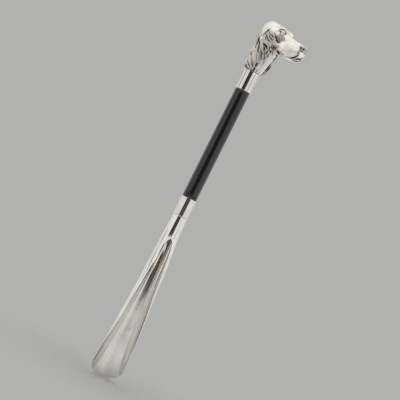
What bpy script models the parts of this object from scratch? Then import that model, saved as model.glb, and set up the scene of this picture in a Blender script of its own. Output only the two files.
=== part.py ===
"""Long shoehorn with a dog's-head handle: plated scoop blade, lacquered round shaft, plated ferrules and a hollow cast head.

Every piece is its own object. The shaft's axis is the Z axis, the blade hangs down, its hollow side faces -Y, and the
origin is the middle of the lacquered shaft, where the hand holds it. Metres throughout; the constants are in millimetres.
"""

import math

import bmesh
import bpy
import numpy as np
from mathutils import Matrix, Vector

MM = 0.001

# ---------------------------------------------------------------- driving dimensions, in millimetres
SHAFT_R = 10.0  # lacquered wood
SHAFT_HALF = 77.5  # half of the visible length
SPIGOT_R = 8.55  # turned down at both ends to take the ferrules
SPIGOT_TOP = 22.5
SPIGOT_BOTTOM = 21.5
INSERT_R = 5.0  # brass thread insert set in each spigot
INSERT_LEN = 18.0
INSERT_BORE_R = 5.3
THREAD_R = 4.15  # plain bore that stands for the M8 thread
STUD_R = 3.9  # plain pin that stands for the M8 thread
STUD_LEN = 34.0
FERRULE_R = 10.1
FERRULE_IN_R = 8.9
FERRULE_TOP_LEN = 27.0
FERRULE_BOTTOM_LEN = 26.0
GAP = 0.3  # between touching pieces
WASHER_R = 8.0
WASHER_T = 1.0
BUSH_FLANGE_R = 8.3
BUSH_R = 6.4
BUSH_BORE_R = 6.7  # hole in the head that takes the bush
BLADE_LEN = 229.0
BLADE_T = 1.2  # sheet thickness
PLUG_R = 7.85
PLUG_LEN = 15.0
HEAD_CLOCK = -52.0  # the nose points this many degrees round from +X
HEAD_SCALE = 1.009

TOP = SHAFT_HALF + FERRULE_TOP_LEN  # upper ferrule's top edge
SEAM = -(SHAFT_HALF + FERRULE_BOTTOM_LEN)  # lower ferrule's bottom edge

# Blade stations: distance below the seam, half-width, and where the back of the scoop lies in front of (+) or behind (-)
# the shaft's axis.
BLADE_WIDTH = [(0, 9.5), (12, 9.85), (23, 10.3), (31, 10.7), (46, 11.65), (62, 12.85), (81, 13.65), (100, 14.35), (116, 15.35), (131, 16.5), (155, 17.95), (170, 19.2), (186, 20.6), (208, 22.0), (229, 22.8)]
BLADE_BACK = [(0, -9.5), (16, -9.45), (31, -8.7), (60, -6.4), (100, -4.5), (150, -3.9), (190, -2.9), (208, -2.2), (229, -1.6)]
# Half-angle of the metal round the section, from the middle of its back to its rim: 180 is a closed tube.
APEX = 31.3  # where the tube opens
BLADE_WRAP = [(40.2, 153.6), (50, 148.5), (65, 143), (81, 138), (96, 132.5), (111, 126.5), (128, 119), (141, 112), (154, 104), (167, 95.5), (185, 84), (208, 70), (229, 62)]
TIP_DEPTH = 22.4  # length of the rounded end
TIP_HALF = 22.1
TIP_POWER = 2.7


# ---------------------------------------------------------------- small tools
def clear_scene():
    for obj in list(bpy.data.objects):
        bpy.data.objects.remove(obj, do_unlink=True)


def collection(name):
    made = bpy.data.collections.new(name)
    bpy.context.scene.collection.children.link(made)
    return made


def material(name, colour, metallic, roughness):
    made = bpy.data.materials.new(name)
    made.use_nodes = True
    shader = made.node_tree.nodes["Principled BSDF"]
    shader.inputs["Base Color"].default_value = (*colour, 1)
    shader.inputs["Metallic"].default_value = metallic
    shader.inputs["Roughness"].default_value = roughness
    made.diffuse_color = (*colour, 1)
    return made


def smooth(mesh, degrees=35):
    mesh.shade_smooth()
    mesh.set_sharp_from_angle(angle=math.radians(degrees))


def put(name, mesh, mat, where, parent=None, location=(0, 0, 0)):
    obj = bpy.data.objects.new(name, mesh)
    where.objects.link(obj)
    if mat is not None:
        mesh.materials.append(mat)
    obj.parent = parent
    obj.location = Vector(location) * MM
    return obj


def turned(name, profile, mat, where, parent=None, z=0.0, steps=48, closed=True):
    """A turned piece: profile is (radius, height) in mm, running down the outside."""
    mesh = bpy.data.meshes.new(name)
    verts = [(r * MM, 0, h * MM) for r, h in profile]
    edges = [(i, i + 1) for i in range(len(verts) - 1)]
    if closed:
        edges.append((len(verts) - 1, 0))
    mesh.from_pydata(verts, edges, [])
    obj = put(name, mesh, mat, where, parent, (0, 0, z))
    screw = obj.modifiers.new("turn", "SCREW")
    screw.axis = "Z"
    screw.angle = math.tau
    screw.steps = steps
    screw.render_steps = steps
    screw.use_merge_vertices = True
    screw.merge_threshold = 0.00001
    screw.use_smooth_shade = True
    return obj


def ring(name, r_out, r_in, low, high, mat, where, parent=None, z=0.0, steps=48, chamfer=0.0):
    """A tube with its edges broken by a chamfer."""
    c = chamfer
    if c:
        profile = [(r_out - c, high), (r_out, high - c), (r_out, low + c), (r_out - c, low), (r_in, low), (r_in, high)]
    else:
        profile = [(r_out, high), (r_out, low), (r_in, low), (r_in, high)]
    return turned(name, profile, mat, where, parent, z, steps)


def through(points, x):
    """Monotone cubic through (x, y) points."""
    xs = [p[0] for p in points]
    ys = [p[1] for p in points]
    if x <= xs[0]:
        return ys[0]
    if x >= xs[-1]:
        return ys[-1]
    n = len(xs)
    d = [(ys[i + 1] - ys[i]) / (xs[i + 1] - xs[i]) for i in range(n - 1)]
    m = [d[0]] + [0.0 if d[i - 1] * d[i] <= 0 else 2 * d[i - 1] * d[i] / (d[i - 1] + d[i]) for i in range(1, n - 1)] + [d[-1]]
    i = max(j for j in range(n - 1) if xs[j] <= x)
    h = xs[i + 1] - xs[i]
    t = (x - xs[i]) / h
    return (
        (2 * t**3 - 3 * t**2 + 1) * ys[i]
        + (t**3 - 2 * t**2 + t) * h * m[i]
        + (3 * t**2 - 2 * t**3) * ys[i + 1]
        + (t**3 - t**2) * h * m[i + 1]
    )


# ---------------------------------------------------------------- the blade
def blade_section(d):
    """Radius, wrap half-angle (radians) and centre in front of the axis, d mm below the seam."""
    half = through(BLADE_WIDTH, d)
    if d <= APEX:
        wrap = math.pi
    elif d < BLADE_WRAP[0][0]:
        first = math.pi - math.radians(BLADE_WRAP[0][1])
        wrap = math.pi - first * math.sqrt((d - APEX) / (BLADE_WRAP[0][0] - APEX))
    else:
        wrap = math.radians(through(BLADE_WRAP, d))
    r = half if wrap >= math.pi / 2 else half / math.sin(wrap)
    return r, wrap, through(BLADE_BACK, d) + r


def tip_end(f):
    """How far below the seam the sheet ends, at fraction f of the way from the middle of its back to its rim."""
    start = BLADE_LEN - TIP_DEPTH
    low, high = start, BLADE_LEN
    for _ in range(40):
        d = (low + high) / 2
        r, wrap, _centre = blade_section(d)
        x = min(1.0, abs(r * math.sin(wrap * f)) / TIP_HALF)
        if d < start + TIP_DEPTH * (1 - x**TIP_POWER) ** (1 / TIP_POWER):
            low = d
        else:
            high = d
    return (low + high) / 2


def blade_mesh(name, tube, apex, scoop, end, columns):
    """Open mid-surface of the blade: a tube whose front opens into a flared, curved scoop with a rounded end."""
    first = BLADE_WRAP[0][0]
    last = BLADE_LEN - TIP_DEPTH - 16
    rows = [APEX * i / tube for i in range(tube)]
    rows += [APEX + (first - APEX) * (i / apex) ** 2 for i in range(apex)]
    rows += [first + (last - first) * i / scoop for i in range(scoop)]
    bm = bmesh.new()
    grid = []
    for i in range(len(rows) + end + 1):
        line = []
        for j in range(columns + 1):
            g = 2 * j / columns - 1
            # Columns crowd towards the rims as the rounded end is neared.
            share = min(1.0, i / len(rows)) ** 2
            f = (1 - share) * g + share * math.sin(math.pi / 2 * g)
            d = rows[i] if i < len(rows) else last + (tip_end(f) - last) * (i - len(rows)) / end
            r, wrap, centre = blade_section(d)
            r -= BLADE_T / 2
            line.append(bm.verts.new((r * math.sin(wrap * f) * MM, (-centre + r * math.cos(wrap * f)) * MM, -d * MM)))
        grid.append(line)
    for i in range(len(grid) - 1):
        for j in range(columns):
            bm.faces.new((grid[i][j], grid[i + 1][j], grid[i + 1][j + 1], grid[i][j + 1]))
    bmesh.ops.remove_doubles(bm, verts=bm.verts, dist=0.00002)
    bmesh.ops.recalc_face_normals(bm, faces=bm.faces)
    mesh = bpy.data.meshes.new(name)
    bm.to_mesh(mesh)
    bm.free()
    return mesh


def cutter(name, mesh, where, parent=None, location=(0, 0, 0)):
    obj = put(name, mesh, None, where, parent, location)
    obj.hide_render = True
    obj.display_type = "WIRE"
    return obj


def boolean(obj, other, operation="DIFFERENCE"):
    modifier = obj.modifiers.new("cut_" + other.name, "BOOLEAN")
    modifier.object = other
    modifier.operation = operation
    modifier.solver = "EXACT"
    return modifier


# ---------------------------------------------------------------- the dog's head
# Masses of the head in its own frame: +X towards the nose, +Z up from the neck's base. A mass off the middle is mirrored in Y.
# Egg: centre, radii, nose-down tilt, outward yaw, outward roll. Block: centre, half sizes, rounding, nose-down tilt.
# Post: lower end, upper end, the two radii.
EGGS = [
    # skull, back of the skull, forehead
    ((4.6, 0, 53.4), (17.6, 14.0, 17.3), 0, 0, 0),
    ((-2.2, 0, 60.4), (10.0, 9.2, 9.4), 0, 0, 0),
    ((15.0, 0, 57.4), (13.5, 11.0, 11.8), 4, 0, 0),
    # brow, cheek, bone under the eye
    ((20.6, 7.4, 64.4), (7.7, 4.0, 4.1), 7, 6, 0),
    ((14.0, 9.6, 48.5), (11.0, 4.4, 9.0), 10, 4, 0),
    ((25.5, 7.0, 55.0), (7.5, 3.6, 5.0), 18, 0, 0),
    # chin, under the nose, nostril wings
    ((54.0, 0, 40.0), (6.3, 6.9, 4.9), 0, 0, 0),
    ((57.0, 0, 50.4), (3.7, 3.3, 3.5), 0, 0, 0),
    ((56.6, 3.8, 52.8), (3.1, 2.1, 2.9), 0, 0, 0),
    # hanging lips
    ((41.0, 5.6, 44.8), (13.0, 5.0, 10.5), -9, -1.5, 0),
    ((31.5, 6.4, 42.6), (8.9, 4.7, 7.7), -4, 0, 0),
    ((47.6, 6.4, 47.0), (7.1, 3.6, 6.7), -30, -4, 0),
    # ears: the rolled top, the hanging leather and its tip
    ((10.6, 12.4, 54.0), (9.0, 4.2, 6.4), 12, 4, -12),
    ((11.2, 13.6, 44.5), (10.6, 4.4, 11.0), 6, 4, -4),
    ((7.4, 12.2, 30.5), (9.0, 4.6, 13.4), 8, -12, 0),
    ((5.2, 12.0, 16.5), (9.0, 4.4, 13.2), 8, -2, 0),
    ((4.2, 11.6, 9.2), (7.6, 4.2, 8.4), 0, 4, 0),
    # coat on the back of the neck
    ((-6.4, 7.2, 43.5), (7.4, 6.8, 12.8), 5, 0, 0),
    ((-5.8, 7.2, 21.0), (6.9, 6.6, 10.6), -2, 0, 0),
    ((-3.8, 7.2, 9.0), (6.4, 5.6, 8.8), 0, 0, 0),
]
BLOCKS = [
    # bridge of the muzzle, body of the muzzle, front of the upper lip, nose
    ((41.5, 0, 53.2), (18.0, 7.1, 7.3), 3.4, 6),
    ((38.0, 0, 45.0), (16.5, 7.5, 8.3), 4.2, 2),
    ((54.3, 0, 46.4), (5.9, 7.9, 5.9), 4.0, 0),
    ((57.2, 0, 53.6), (3.5, 5.0, 4.0), 2.6, 6),
]
POSTS = [
    # neck, upper neck, throat, lower jaw
    ((0.2, 0, -3), (-1.0, 0, 14), 10.2, 11.8),
    ((-1.0, 0, 14), (0.5, 0, 42), 11.8, 13.8),
    ((1.8, 0, 1), (6.8, 0, 33), 8.4, 9.0),
    ((10.0, 0, 42.5), (51.5, 0, 40.4), 7.4, 5.3),
]
# The hollow inside the casting.
VOID_EGGS = [((4.4, 0, 54.0), (13.0, 9.4, 12.4), 0, 0, 0), ((15.0, 0, 56.0), (12.0, 7.0, 8.4), 6, 0, 0), ((0.5, 0, 36.0), (9.0, 9.0, 14.0), 0, 0, 0)]
VOID_BLOCKS = [((37.0, 0, 48.0), (15.5, 4.6, 7.4), 3.6, 5)]
VOID_POSTS = [((0, 0, 16), (0.5, 0, 40), 7.6, 9.6)]


def head_masses_mesh(name, eggs, blocks, posts):
    """One mesh of overlapping rounded masses."""
    bm = bmesh.new()

    def place(verts, matrix):
        bmesh.ops.transform(bm, matrix=Matrix.Scale(MM * HEAD_SCALE, 4) @ matrix, verts=verts)

    for (x, y, z), radii, tilt, yaw, roll in eggs:
        for side in (1, -1) if y else (1,):
            made = bmesh.ops.create_icosphere(bm, subdivisions=3, radius=1.0)
            place(
                made["verts"],
                Matrix.Translation((x, y * side, z))
                @ Matrix.Rotation(math.radians(yaw * side), 4, "Z")
                @ Matrix.Rotation(math.radians(tilt), 4, "Y")
                @ Matrix.Rotation(math.radians(roll * side), 4, "X")
                @ Matrix.Diagonal((*radii, 1)),
            )
    for centre, half, rounding, tilt in blocks:
        made = bmesh.ops.create_cube(bm, size=2.0)
        verts = made["verts"]
        bmesh.ops.transform(bm, matrix=Matrix.Diagonal((*half, 1)), verts=verts)
        edges = list({e for v in verts for e in v.link_edges})
        done = bmesh.ops.bevel(bm, geom=verts + edges, offset=rounding, segments=4, profile=0.5, affect="EDGES")
        place(list({v for f in done["faces"] for v in f.verts} | {v for v in verts if v.is_valid}), Matrix.Translation(centre) @ Matrix.Rotation(math.radians(tilt), 4, "Y"))
    for low, high, r0, r1 in posts:
        low, high = Vector(low), Vector(high)
        along = (high - low).to_track_quat("Z", "Y").to_matrix().to_4x4()
        made = bmesh.ops.create_cone(bm, cap_ends=True, segments=32, radius1=r0, radius2=r1, depth=(high - low).length)
        place(made["verts"], Matrix.Translation((low + high) / 2) @ along)
        for centre, r in ((low, r0), (high, r1)):
            made = bmesh.ops.create_icosphere(bm, subdivisions=3, radius=r)
            place(made["verts"], Matrix.Translation(centre))
    # the head is carried nose-down: a shear that leaves the neck's base flat
    for v in bm.verts:
        x, z = v.co.x, v.co.z / MM
        share = min(max((z - 5.0) / 30.0, 0.0), 1.0)
        v.co.z -= x * (0.0622 + 0.00035 * z) * share * share * (3 - 2 * share)
    mesh = bpy.data.meshes.new(name)
    bm.to_mesh(mesh)
    bm.free()
    return mesh


def remesh(obj, voxel, smoothing):
    modifier = obj.modifiers.new("blend_masses", "REMESH")
    modifier.mode = "VOXEL"
    modifier.voxel_size = voxel * MM
    if smoothing:
        modifier = obj.modifiers.new("soften", "SMOOTH")
        modifier.factor = 0.5
        modifier.iterations = smoothing


def applied(obj, name):
    """The object's evaluated mesh, as a mesh of its own."""
    bpy.context.view_layer.update()
    mesh = bpy.data.meshes.new_from_object(obj.evaluated_get(bpy.context.evaluated_depsgraph_get()))
    mesh.name = name
    return mesh


def main():
    clear_scene()
    parts = collection("long_shoehorn")
    cutters = collection("cutters")

    plate = material("plated_metal", (0.78, 0.76, 0.72), 1.0, 0.08)
    silver = material("silvered_casting", (0.80, 0.77, 0.71), 1.0, 0.16)
    lacquer = material("black_lacquer", (0.012, 0.012, 0.014), 0.0, 0.07)
    brass = material("raw_brass", (0.72, 0.53, 0.25), 1.0, 0.25)
    steel = material("stud_steel", (0.55, 0.55, 0.56), 1.0, 0.3)
    fibre = material("black_fibre", (0.05, 0.05, 0.05), 0.0, 0.6)

    handle = bpy.data.objects.new("handle_axis", None)
    head_axis = bpy.data.objects.new("head_axis", None)
    blade_axis = bpy.data.objects.new("blade_axis", None)
    for empty in (handle, head_axis, blade_axis):
        parts.objects.link(empty)
    head_axis.parent = handle
    head_axis.location = (0, 0, (TOP + GAP) * MM)
    head_axis.rotation_euler = (0, 0, math.radians(HEAD_CLOCK))
    blade_axis.parent = handle
    blade_axis.location = (0, 0, (SEAM - GAP) * MM)

    # Shaft: one turned stick with a spigot and a blind bore at each end.
    top_end = SHAFT_HALF + SPIGOT_TOP
    low_end = -(SHAFT_HALF + SPIGOT_BOTTOM)
    deep = INSERT_LEN + 3
    shaft_profile = [
        (0.0, top_end - deep),
        (INSERT_BORE_R, top_end - deep),
        (INSERT_BORE_R, top_end),
        (SPIGOT_R - 0.5, top_end),
        (SPIGOT_R, top_end - 0.5),
        (SPIGOT_R, SHAFT_HALF),
        (SHAFT_R - 0.25, SHAFT_HALF),
        (SHAFT_R, SHAFT_HALF - 0.25),
        (SHAFT_R, -SHAFT_HALF + 0.25),
        (SHAFT_R - 0.25, -SHAFT_HALF),
        (SPIGOT_R, -SHAFT_HALF),
        (SPIGOT_R, low_end + 0.5),
        (SPIGOT_R - 0.5, low_end),
        (INSERT_BORE_R, low_end),
        (INSERT_BORE_R, low_end + deep),
        (0.0, low_end + deep),
    ]
    turned("shaft", shaft_profile, lacquer, parts, handle, steps=48, closed=False)

    # Thread inserts, flush with the ends of the spigots.
    ring("upper_insert", INSERT_R, THREAD_R, top_end - INSERT_LEN, top_end - 0.2, brass, parts, handle, steps=32, chamfer=0.3)
    ring("lower_insert", INSERT_R, THREAD_R, low_end + 0.2, low_end + INSERT_LEN, brass, parts, handle, steps=32, chamfer=0.3)

    # Ferrules.
    ring("upper_ferrule", FERRULE_R, FERRULE_IN_R, SHAFT_HALF + GAP, TOP, plate, parts, handle, steps=48, chamfer=0.25)
    ring("lower_ferrule", FERRULE_R, FERRULE_IN_R, SEAM, -SHAFT_HALF - GAP, plate, parts, handle, steps=48, chamfer=0.25)

    # Studs, one end fast in the shaft's insert.
    def stud(name, low):
        high = low + STUD_LEN
        profile = [(0, high), (STUD_R - 0.8, high), (STUD_R, high - 0.8), (STUD_R, low + 0.8), (STUD_R - 0.8, low), (0, low)]
        return turned(name, profile, steel, parts, handle, steps=24, closed=False)

    stud("upper_stud", top_end - INSERT_LEN + 1.0)
    stud("lower_stud", low_end + INSERT_LEN - 1.0 - STUD_LEN)

    # Fibre washers between the spigots and what screws on.
    ring("upper_washer", WASHER_R, THREAD_R + 0.4, top_end + GAP, top_end + GAP + WASHER_T, fibre, parts, head_axis, z=-(TOP + GAP), steps=32)
    ring("lower_washer", WASHER_R, THREAD_R + 0.4, low_end - GAP - WASHER_T, low_end - GAP, fibre, parts, blade_axis, z=-(SEAM - GAP), steps=32)

    # Threaded bush soldered into the head, with a flange that centres it in the ferrule.
    flange_low = top_end + 2 * GAP + WASHER_T - (TOP + GAP)
    bush = [
        (BUSH_R, 13.5),
        (BUSH_R, -GAP),
        (BUSH_FLANGE_R, -GAP),
        (BUSH_FLANGE_R, flange_low),
        (THREAD_R, flange_low),
        (THREAD_R, 13.5),
    ]
    turned("head_bush", bush, brass, parts, head_axis, steps=32)

    # Threaded plug brazed into the blade's tube, with the same flange.
    flange_high = low_end - 2 * GAP - WASHER_T - (SEAM - GAP)
    plug = [
        (THREAD_R, flange_high),
        (BUSH_FLANGE_R, flange_high),
        (BUSH_FLANGE_R, 0.6),
        (PLUG_R, 0.6),
        (PLUG_R, -PLUG_LEN),
        (THREAD_R, -PLUG_LEN),
    ]
    turned("blade_plug", plug, brass, parts, blade_axis, steps=32)

    # Blade: an open surface given the sheet's thickness.
    blade = put("blade", blade_mesh("blade", 5, 6, 22, 10, 26), plate, parts, blade_axis)
    solid = blade.modifiers.new("sheet", "SOLIDIFY")
    solid.thickness = BLADE_T * MM
    solid.offset = 0
    solid.use_even_offset = False

    # Head: a hollow casting, open at the neck for its bush.
    outer = put("head_outer", head_masses_mesh("head_outer", EGGS, BLOCKS, POSTS), None, cutters)
    remesh(outer, 0.8, 5)
    inner = put("head_inner", head_masses_mesh("head_inner", VOID_EGGS, VOID_BLOCKS, VOID_POSTS), None, cutters)
    remesh(inner, 1.2, 3)
    outer_mesh = applied(outer, "head_casting")
    inner_mesh = applied(inner, "head_void")
    for obj in (outer, inner):
        bpy.data.objects.remove(obj, do_unlink=True)

    head = put("head_casting", outer_mesh, silver, parts, head_axis)
    thin = head.modifiers.new("coarse", "DECIMATE")
    thin.ratio = 0.13
    void = cutter("head_void", inner_mesh, cutters, head_axis)
    thin = void.modifiers.new("coarse", "DECIMATE")
    thin.ratio = 0.16

    bm = bmesh.new()
    bmesh.ops.create_cone(bm, cap_ends=True, segments=32, radius1=BUSH_BORE_R * MM, radius2=BUSH_BORE_R * MM, depth=24 * MM)
    bore_mesh = bpy.data.meshes.new("neck_bore")
    bm.to_mesh(bore_mesh)
    bm.free()
    bore = cutter("neck_bore", bore_mesh, cutters, head_axis, (0, 0, 6))

    bm = bmesh.new()
    bmesh.ops.create_cube(bm, size=1.0)
    bmesh.ops.scale(bm, vec=(0.08, 0.08, 0.03), verts=bm.verts)
    base_mesh = bpy.data.meshes.new("neck_base")
    bm.to_mesh(base_mesh)
    bm.free()
    base = cutter("neck_base", base_mesh, cutters, head_axis, (0, 0, -15))

    # The void starts above the bush, so the neck keeps its thick wall there.
    bm = bmesh.new()
    bmesh.ops.create_cube(bm, size=1.0)
    bmesh.ops.scale(bm, vec=(0.08, 0.08, 0.034), verts=bm.verts)
    shelf_mesh = bpy.data.meshes.new("void_floor")
    bm.to_mesh(shelf_mesh)
    bm.free()
    shelf = cutter("void_floor", shelf_mesh, cutters, head_axis, (0, 0, -1.5))
    boolean(void, shelf)
    boolean(head, base)
    boolean(head, void)
    boolean(head, bore)

    for obj in parts.objects:
        if obj.type == "MESH":
            smooth(obj.data)


main()
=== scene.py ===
import math

import bmesh
import bpy
import numpy as np
from mathutils import Matrix, Vector


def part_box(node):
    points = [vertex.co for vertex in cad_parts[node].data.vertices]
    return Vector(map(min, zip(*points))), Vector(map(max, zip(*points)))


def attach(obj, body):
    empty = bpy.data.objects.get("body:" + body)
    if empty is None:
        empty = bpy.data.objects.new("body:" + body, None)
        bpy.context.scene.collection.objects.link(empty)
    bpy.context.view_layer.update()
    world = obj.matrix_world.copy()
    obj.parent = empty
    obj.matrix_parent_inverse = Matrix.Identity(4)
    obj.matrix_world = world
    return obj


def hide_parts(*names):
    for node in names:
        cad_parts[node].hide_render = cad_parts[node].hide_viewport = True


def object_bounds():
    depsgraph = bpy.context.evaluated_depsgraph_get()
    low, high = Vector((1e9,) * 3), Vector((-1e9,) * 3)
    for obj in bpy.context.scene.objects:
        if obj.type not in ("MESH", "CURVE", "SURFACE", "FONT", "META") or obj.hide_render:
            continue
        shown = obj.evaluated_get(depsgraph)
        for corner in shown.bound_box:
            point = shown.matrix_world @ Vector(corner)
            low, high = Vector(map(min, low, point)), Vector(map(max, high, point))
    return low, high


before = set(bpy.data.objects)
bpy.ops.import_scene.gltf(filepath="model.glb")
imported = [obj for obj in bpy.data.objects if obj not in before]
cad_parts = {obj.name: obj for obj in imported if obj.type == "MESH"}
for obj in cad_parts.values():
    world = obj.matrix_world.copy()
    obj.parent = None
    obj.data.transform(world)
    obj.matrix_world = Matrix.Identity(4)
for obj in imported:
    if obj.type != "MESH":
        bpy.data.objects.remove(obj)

CAD_BOX = [list(corner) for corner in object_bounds()]
MM = 0.001
SCENE = bpy.context.scene
SCENE.view_settings.view_transform = "Standard"

# ---------------------------------------------------------------- camera: the picture's viewing angle
AZIMUTH = -14.0
LEAN = 26.46  # the stick leans this far to the right in the picture
DISTANCE = 1.8
WIDTH_AT_OBJECT = 0.5167


def camera():
    a = math.radians(AZIMUTH)
    forward = Vector((-math.sin(a), math.cos(a), 0))
    right = forward.cross(Vector((0, 0, 1)))
    up = Vector((0, 0, 1))
    r = math.radians(LEAN)
    cam_right = right * math.cos(r) + up * math.sin(r)
    cam_up = up * math.cos(r) - right * math.sin(r)
    centre = up * -0.0735 + right * 0.01347
    where = centre - forward * DISTANCE
    data = bpy.data.cameras.new("camera")
    data.lens = 36.0 * DISTANCE / WIDTH_AT_OBJECT
    data.clip_start = 0.05
    data.clip_end = 20
    obj = bpy.data.objects.new("camera", data)
    SCENE.collection.objects.link(obj)
    obj.matrix_world = Matrix(
        (
            (cam_right.x, cam_up.x, -forward.x, where.x),
            (cam_right.y, cam_up.y, -forward.y, where.y),
            (cam_right.z, cam_up.z, -forward.z, where.z),
            (0, 0, 0, 1),
        )
    )
    SCENE.camera = obj


camera()


# ---------------------------------------------------------------- node helpers
class Graph:
    """Short way to build a node tree: inputs are numbers, colours or other nodes' sockets."""

    def __init__(self, tree):
        self.tree = tree
        tree.nodes.clear()

    def node(self, kind, inputs=(), **settings):
        made = self.tree.nodes.new("ShaderNode" + kind)
        for key, value in settings.items():
            setattr(made, key, value)
        for key, value in dict(inputs).items():
            self.feed(made.inputs[key], value)
        return made

    def feed(self, socket, value):
        if isinstance(value, bpy.types.NodeSocket):
            self.tree.links.new(value, socket)
        else:
            if socket.type == "RGBA" and len(value) == 3:
                value = (*value, 1)
            socket.default_value = value

    def sum(self, operation, a, b=0.0, c=0.0, clamp=False):
        return self.node("Math", {0: a, 1: b, 2: c}, operation=operation, use_clamp=clamp).outputs[0]

    def span(self, value, low, high, to_low=0.0, to_high=1.0, smooth=True):
        made = self.node(
            "MapRange",
            {"Value": value, "From Min": low, "From Max": high, "To Min": to_low, "To Max": to_high},
            interpolation_type="SMOOTHSTEP" if smooth else "LINEAR",
        )
        return made.outputs[0]

    def mix(self, factor, a, b, blend="MIX"):
        made = self.node("Mix", data_type="RGBA", blend_type=blend)
        self.feed(made.inputs[0], factor)
        self.feed(made.inputs[6], a)
        self.feed(made.inputs[7], b)
        return made.outputs[2]

    def noise(self, vector, scale, detail=3.0, roughness=0.5):
        return self.node("TexNoise", {"Vector": vector, "Scale": scale, "Detail": detail, "Roughness": roughness}).outputs[0]

    def stretched(self, vector, scale):
        return self.node("Mapping", {"Vector": vector, "Scale": scale}).outputs[0]

    def ramp(self, value, stops):
        made = self.node("ValToRGB", {"Fac": value})
        band = made.color_ramp
        while len(band.elements) > 1:
            band.elements.remove(band.elements[-1])
        band.elements[0].position = stops[0][0]
        for place, _ in stops[1:]:
            band.elements.new(place)
        for stop, (_, level) in zip(band.elements, stops):
            colour = (level, level, level) if np.isscalar(level) else level
            stop.color = (*colour, 1)
        return made.outputs[0]

    def surface(self, shader):
        out = self.node("OutputMaterial")
        self.tree.links.new(shader.outputs[0], out.inputs[0])


# ---------------------------------------------------------------- studio
def studio():
    """Soft light from all round, with the dark gaps between the softboxes that bright metal shows as lines."""
    world = bpy.data.worlds.new("studio")
    SCENE.world = world
    world.use_nodes = True
    g = Graph(world.node_tree)
    a = math.radians(AZIMUTH)
    toward = (math.sin(a), -math.cos(a), 0)  # where the picture is taken from
    right = (math.cos(a), math.sin(a), 0)
    where = g.node("TexCoord").outputs["Generated"]

    def dot(v):
        return g.node("VectorMath", {0: where, 1: v}, operation="DOT_PRODUCT").outputs["Value"]

    round_ = g.sum("MULTIPLY_ADD", g.sum("ARCTAN2", dot(right), dot(toward)), 1 / math.tau, 0.5)
    height = dot((0, 0, 1))

    def at(degrees):
        return degrees / 360 + 0.5

    def band(stops):
        return g.ramp(round_, [(at(d), v) for d, v in stops])

    level = g.mix(g.span(height, -0.95, -0.7), (0.34, 0.335, 0.325), band(LOW))
    level = g.mix(g.span(height, -0.062, -0.053), level, band(UNDER))
    level = g.mix(g.span(height, -0.028, -0.020), level, band(MIDDLE))
    level = g.mix(g.span(height, 0.045, 0.06), level, band(HIGH))
    level = g.mix(g.span(height, 0.165, 0.195), level, band(ABOVE))
    level = g.mix(g.span(height, 0.30, 0.36), level, band(UPPER))
    level = g.mix(g.span(height, 0.55, 0.85), level, (1.0, 0.99, 0.97))
    lit = g.node("Background", {"Color": level, "Strength": 1.0})
    plain = g.node("Background", {"Color": BACKDROP, "Strength": 1.0})
    seen_directly = g.node("LightPath").outputs["Is Camera Ray"]
    both = g.node("MixShader", {0: seen_directly})
    g.tree.links.new(lit.outputs[0], both.inputs[1])
    g.tree.links.new(plain.outputs[0], both.inputs[2])
    out = g.node("OutputWorld")
    g.tree.links.new(both.outputs[0], out.inputs[0])


BACKDROP = (0.44, 0.44, 0.435)
BROWN = (0.035, 0.026, 0.020)
# Light by degrees to the right of the picture's viewpoint, in bands from below the horizon upwards.
LOW = [(-180, 0.80), (-110, 0.76), (-60, 0.66), (0, 0.65), (60, 0.66), (110, 0.76), (180, 0.80)]
UNDER = [
    (-180, 0.80),
    (-110, 0.80),
    (-86, 0.80),
    (-76, (0.30, 0.25, 0.22)),
    (-56, (0.24, 0.19, 0.16)),
    (-46, BROWN),
    (-20, (0.045, 0.040, 0.045)),
    (6, (0.045, 0.040, 0.045)),
    (38, 0.80),
    (110, 0.80),
    (180, 0.80),
]
MIDDLE = [
    (-180, 0.70),
    (-83, 0.84),
    (-46, 0.90),
    (-31, 0.86),
    (-26, BROWN),
    (-8, BROWN),
    (0, (0.22, 0.17, 0.13)),
    (8, BROWN),
    (26, BROWN),
    (33, 0.86),
    (50, 0.90),
    (110, 0.84),
    (180, 0.70),
]
HIGH = [
    (-180, 0.70),
    (-112, 0.84),
    (-98, 0.84),
    (-93, (0.10, 0.085, 0.07)),
    (-88, (0.10, 0.085, 0.07)),
    (-83, 0.84),
    (-46, 0.92),
    (-37, 0.88),
    (-32, BROWN),
    (-8, BROWN),
    (0, (0.08, 0.065, 0.05)),
    (16, BROWN),
    (22, 0.85),
    (50, 0.90),
    (57, 0.88),
    (60, (0.16, 0.13, 0.11)),
    (63, (0.16, 0.13, 0.11)),
    (67, 0.88),
    (110, 0.84),
    (180, 0.70),
]
ABOVE = [(-180, 0.75), (-60, 0.92), (-20, 0.85), (0, 0.82), (20, 0.85), (60, 0.92), (180, 0.75)]
UPPER = [
    (-180, 0.50),
    (-112, 0.90),
    (-46, 1.05),
    (-31, 0.95),
    (-25, (0.09, 0.07, 0.055)),
    (20, (0.09, 0.07, 0.055)),
    (28, 0.95),
    (50, 1.05),
    (110, 0.90),
    (180, 0.50),
]
studio()


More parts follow.
